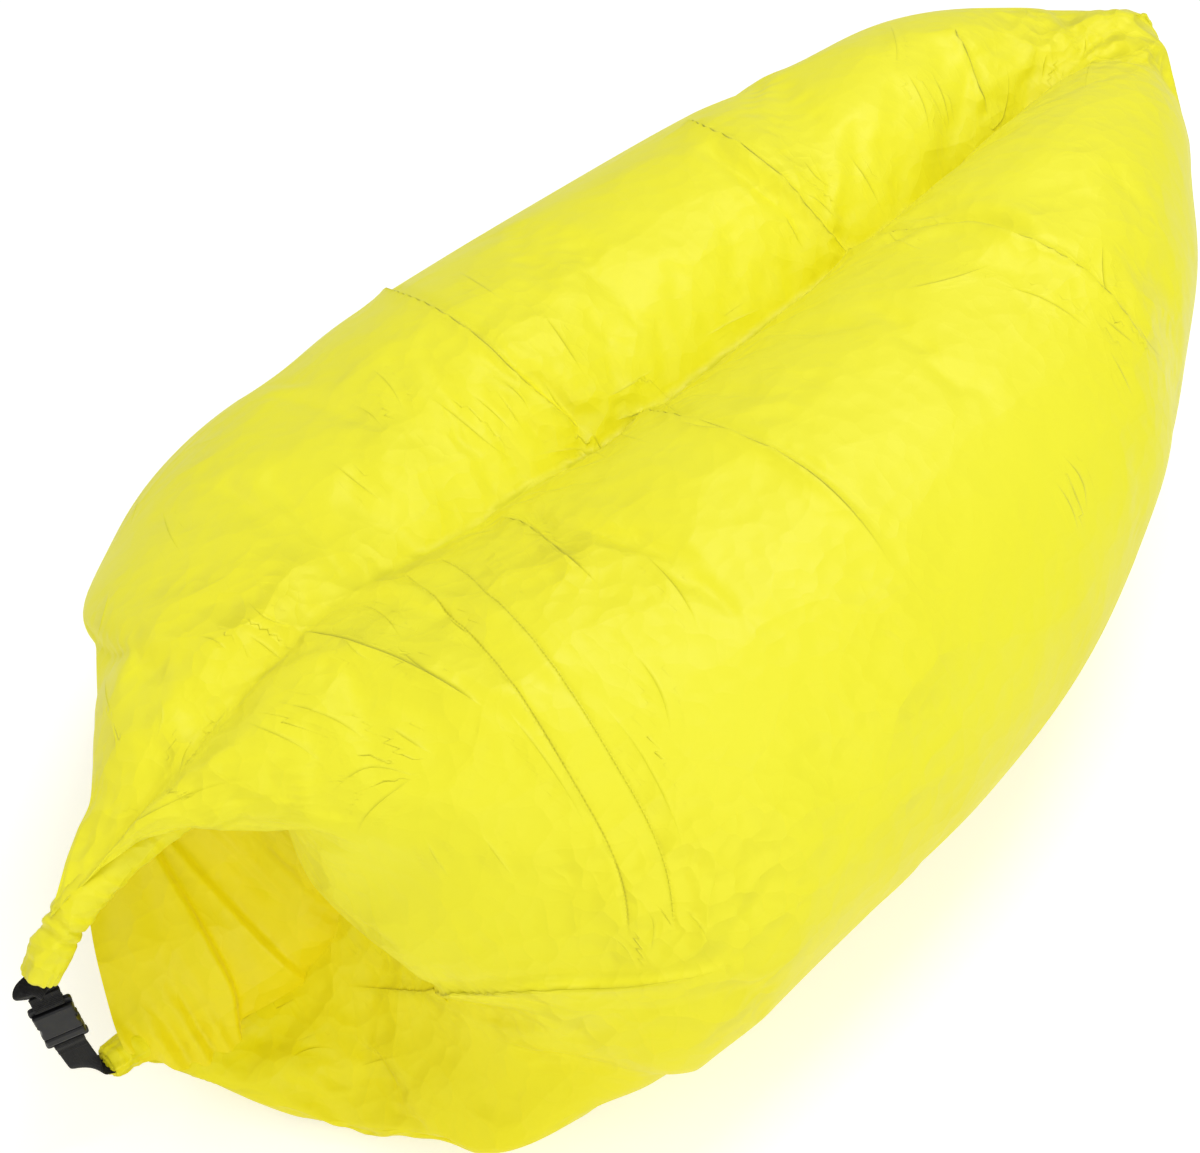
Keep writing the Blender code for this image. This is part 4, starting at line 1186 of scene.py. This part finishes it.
def make_webbing(name, root, bar, way):
    """A ribbon of webbing from the roll's end, round the bar and sewn back on itself."""
    keys = [list(point) for point in root + wrap_points(bar, way)]
    line = resample([Vector(point) for point in curve_points(keys, strap_curve_steps)], strap_rows)
    run = lengths_along(line)
    section = [(x / 9, 1) for x in range(-9, 10)] + [(x / 9, -1) for x in range(9, -10, -1)]
    rows, weave = [], []
    for i, (point, tangent) in enumerate(zip(line, tangents(line))):
        turn = float(smooth(0.12, 0.42, run[i] / run[-1]))
        half = Vector((1, 0, 0)).slerp(buckle_sideways, turn)
        across = (half - tangent * half.dot(tangent)).normalized()
        thick = across.cross(tangent).normalized()
        row = []
        for x, face in section:
            edge = 1 - 0.45 * max(0.0, (abs(x) - 0.86) / 0.14) ** 2
            sway = 0.0006 * math.sin(run[i] * 160 + 1.0) * (1 - turn)
            out = face * edge * webbing_thickness / 2 + sway
            row.append(point + across * (x * webbing_width / 2) + thick * out)
            weave.append((run[i], x * webbing_width / 2, 0.0))
        rows.append(row)
    grid = np.array([[list(point) for point in row] for row in rows])
    made = grid_object(name, grid, webbing_cloth)
    close_ends(made, len(section))
    set_layer(made.data, "weave", np.array(weave))
    return made


def webbing_root(end, inner):
    out = (end - inner).normalized()
    return [end, end + out * strip_tail * 1.05, end + out * strip_tail * 1.5]


def make_straps():
    line = resample(loop_line(), 400)
    bulge = Vector((0, along(upper_strap_turn[0]), line[0].z + upper_strap_turn[1]))
    upper = make_webbing("socket_strap", webbing_root(line[0], line[2]) + [bulge], socket_bar, 1)
    turn = Vector((0, along(lower_strap_turn[0]), line[-1].z + lower_strap_turn[1]))
    lower = make_webbing("prong_strap", webbing_root(line[-1], line[-3]) + [turn], base_bar, -1)
    return upper, lower


# Sewn seams

def make_ribbon(name, line, square, width, depth, sway):
    """A bound edge of folded cloth that stands on a line of points, away along square."""
    keys = np.array(line)
    half = [(-0.5, -0.3), (-0.5, 0.35), (-0.46, 0.8), (-0.25, 1.0)]
    section = half + [(-x, s) for x, s in half[::-1]]
    rows = []
    for i, point in enumerate(keys):
        shift = sway * math.sin(i * 0.55) + sway * 0.6 * math.sin(i * 1.3 + 1)
        low = depth * (0.3 + 0.7 * float(smooth(0, 14, i)))
        rows.append([point + np.array((x * width + shift * s, 0, 0)) + square * s * low for x, s in section])
    made = grid_object(name, np.array(rows), cloth)
    close_ends(made, len(section))
    return made


bag = make_bag()
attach(bag, "bag")
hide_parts("right_main_panel", "left_main_panel", "right_foot_panel", "left_foot_panel",
            "right_air_bladder", "left_air_bladder", "upper_spine_seam")

roll = make_roll()
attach(roll, "bag")
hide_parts("mouth_roll")

fan = make_fan()
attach(fan, "bag")

upper_strap, lower_strap = make_straps()
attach(upper_strap, "bag")
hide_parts("socket_webbing")
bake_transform(lower_strap)
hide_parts("prong_webbing")

down = np.linspace(0, 1, head_line_points)
head_line = np.stack([
    0.0 * down,
    along(body_end + head_depth) + head_ear * (1 - down) ** 2,
    head_tip_height * (1 - down) + head_foot_height * down,
], axis=1)
outwards = np.array((0.0, 1.0, 0.0))
head_line = shift_outline(head_line)
head_binding = make_ribbon("head_binding", head_line, outwards, *head_binding_size)
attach(head_binding, "bag")
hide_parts("head_seam")
low_line = cloth_grid("right")[foot_rows::3, -1]
low_line[:, 0] = 0.0
spine_binding = make_ribbon("spine_binding", low_line, np.array((0.0, 0.0, -1.0)), *spine_binding_size)
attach(spine_binding, "bag")
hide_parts("lower_spine_seam")

for node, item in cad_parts.items():
    for place in range(len(item.material_slots)):
        item.material_slots[place].material = strip_plastic if "strip" in node else plastic
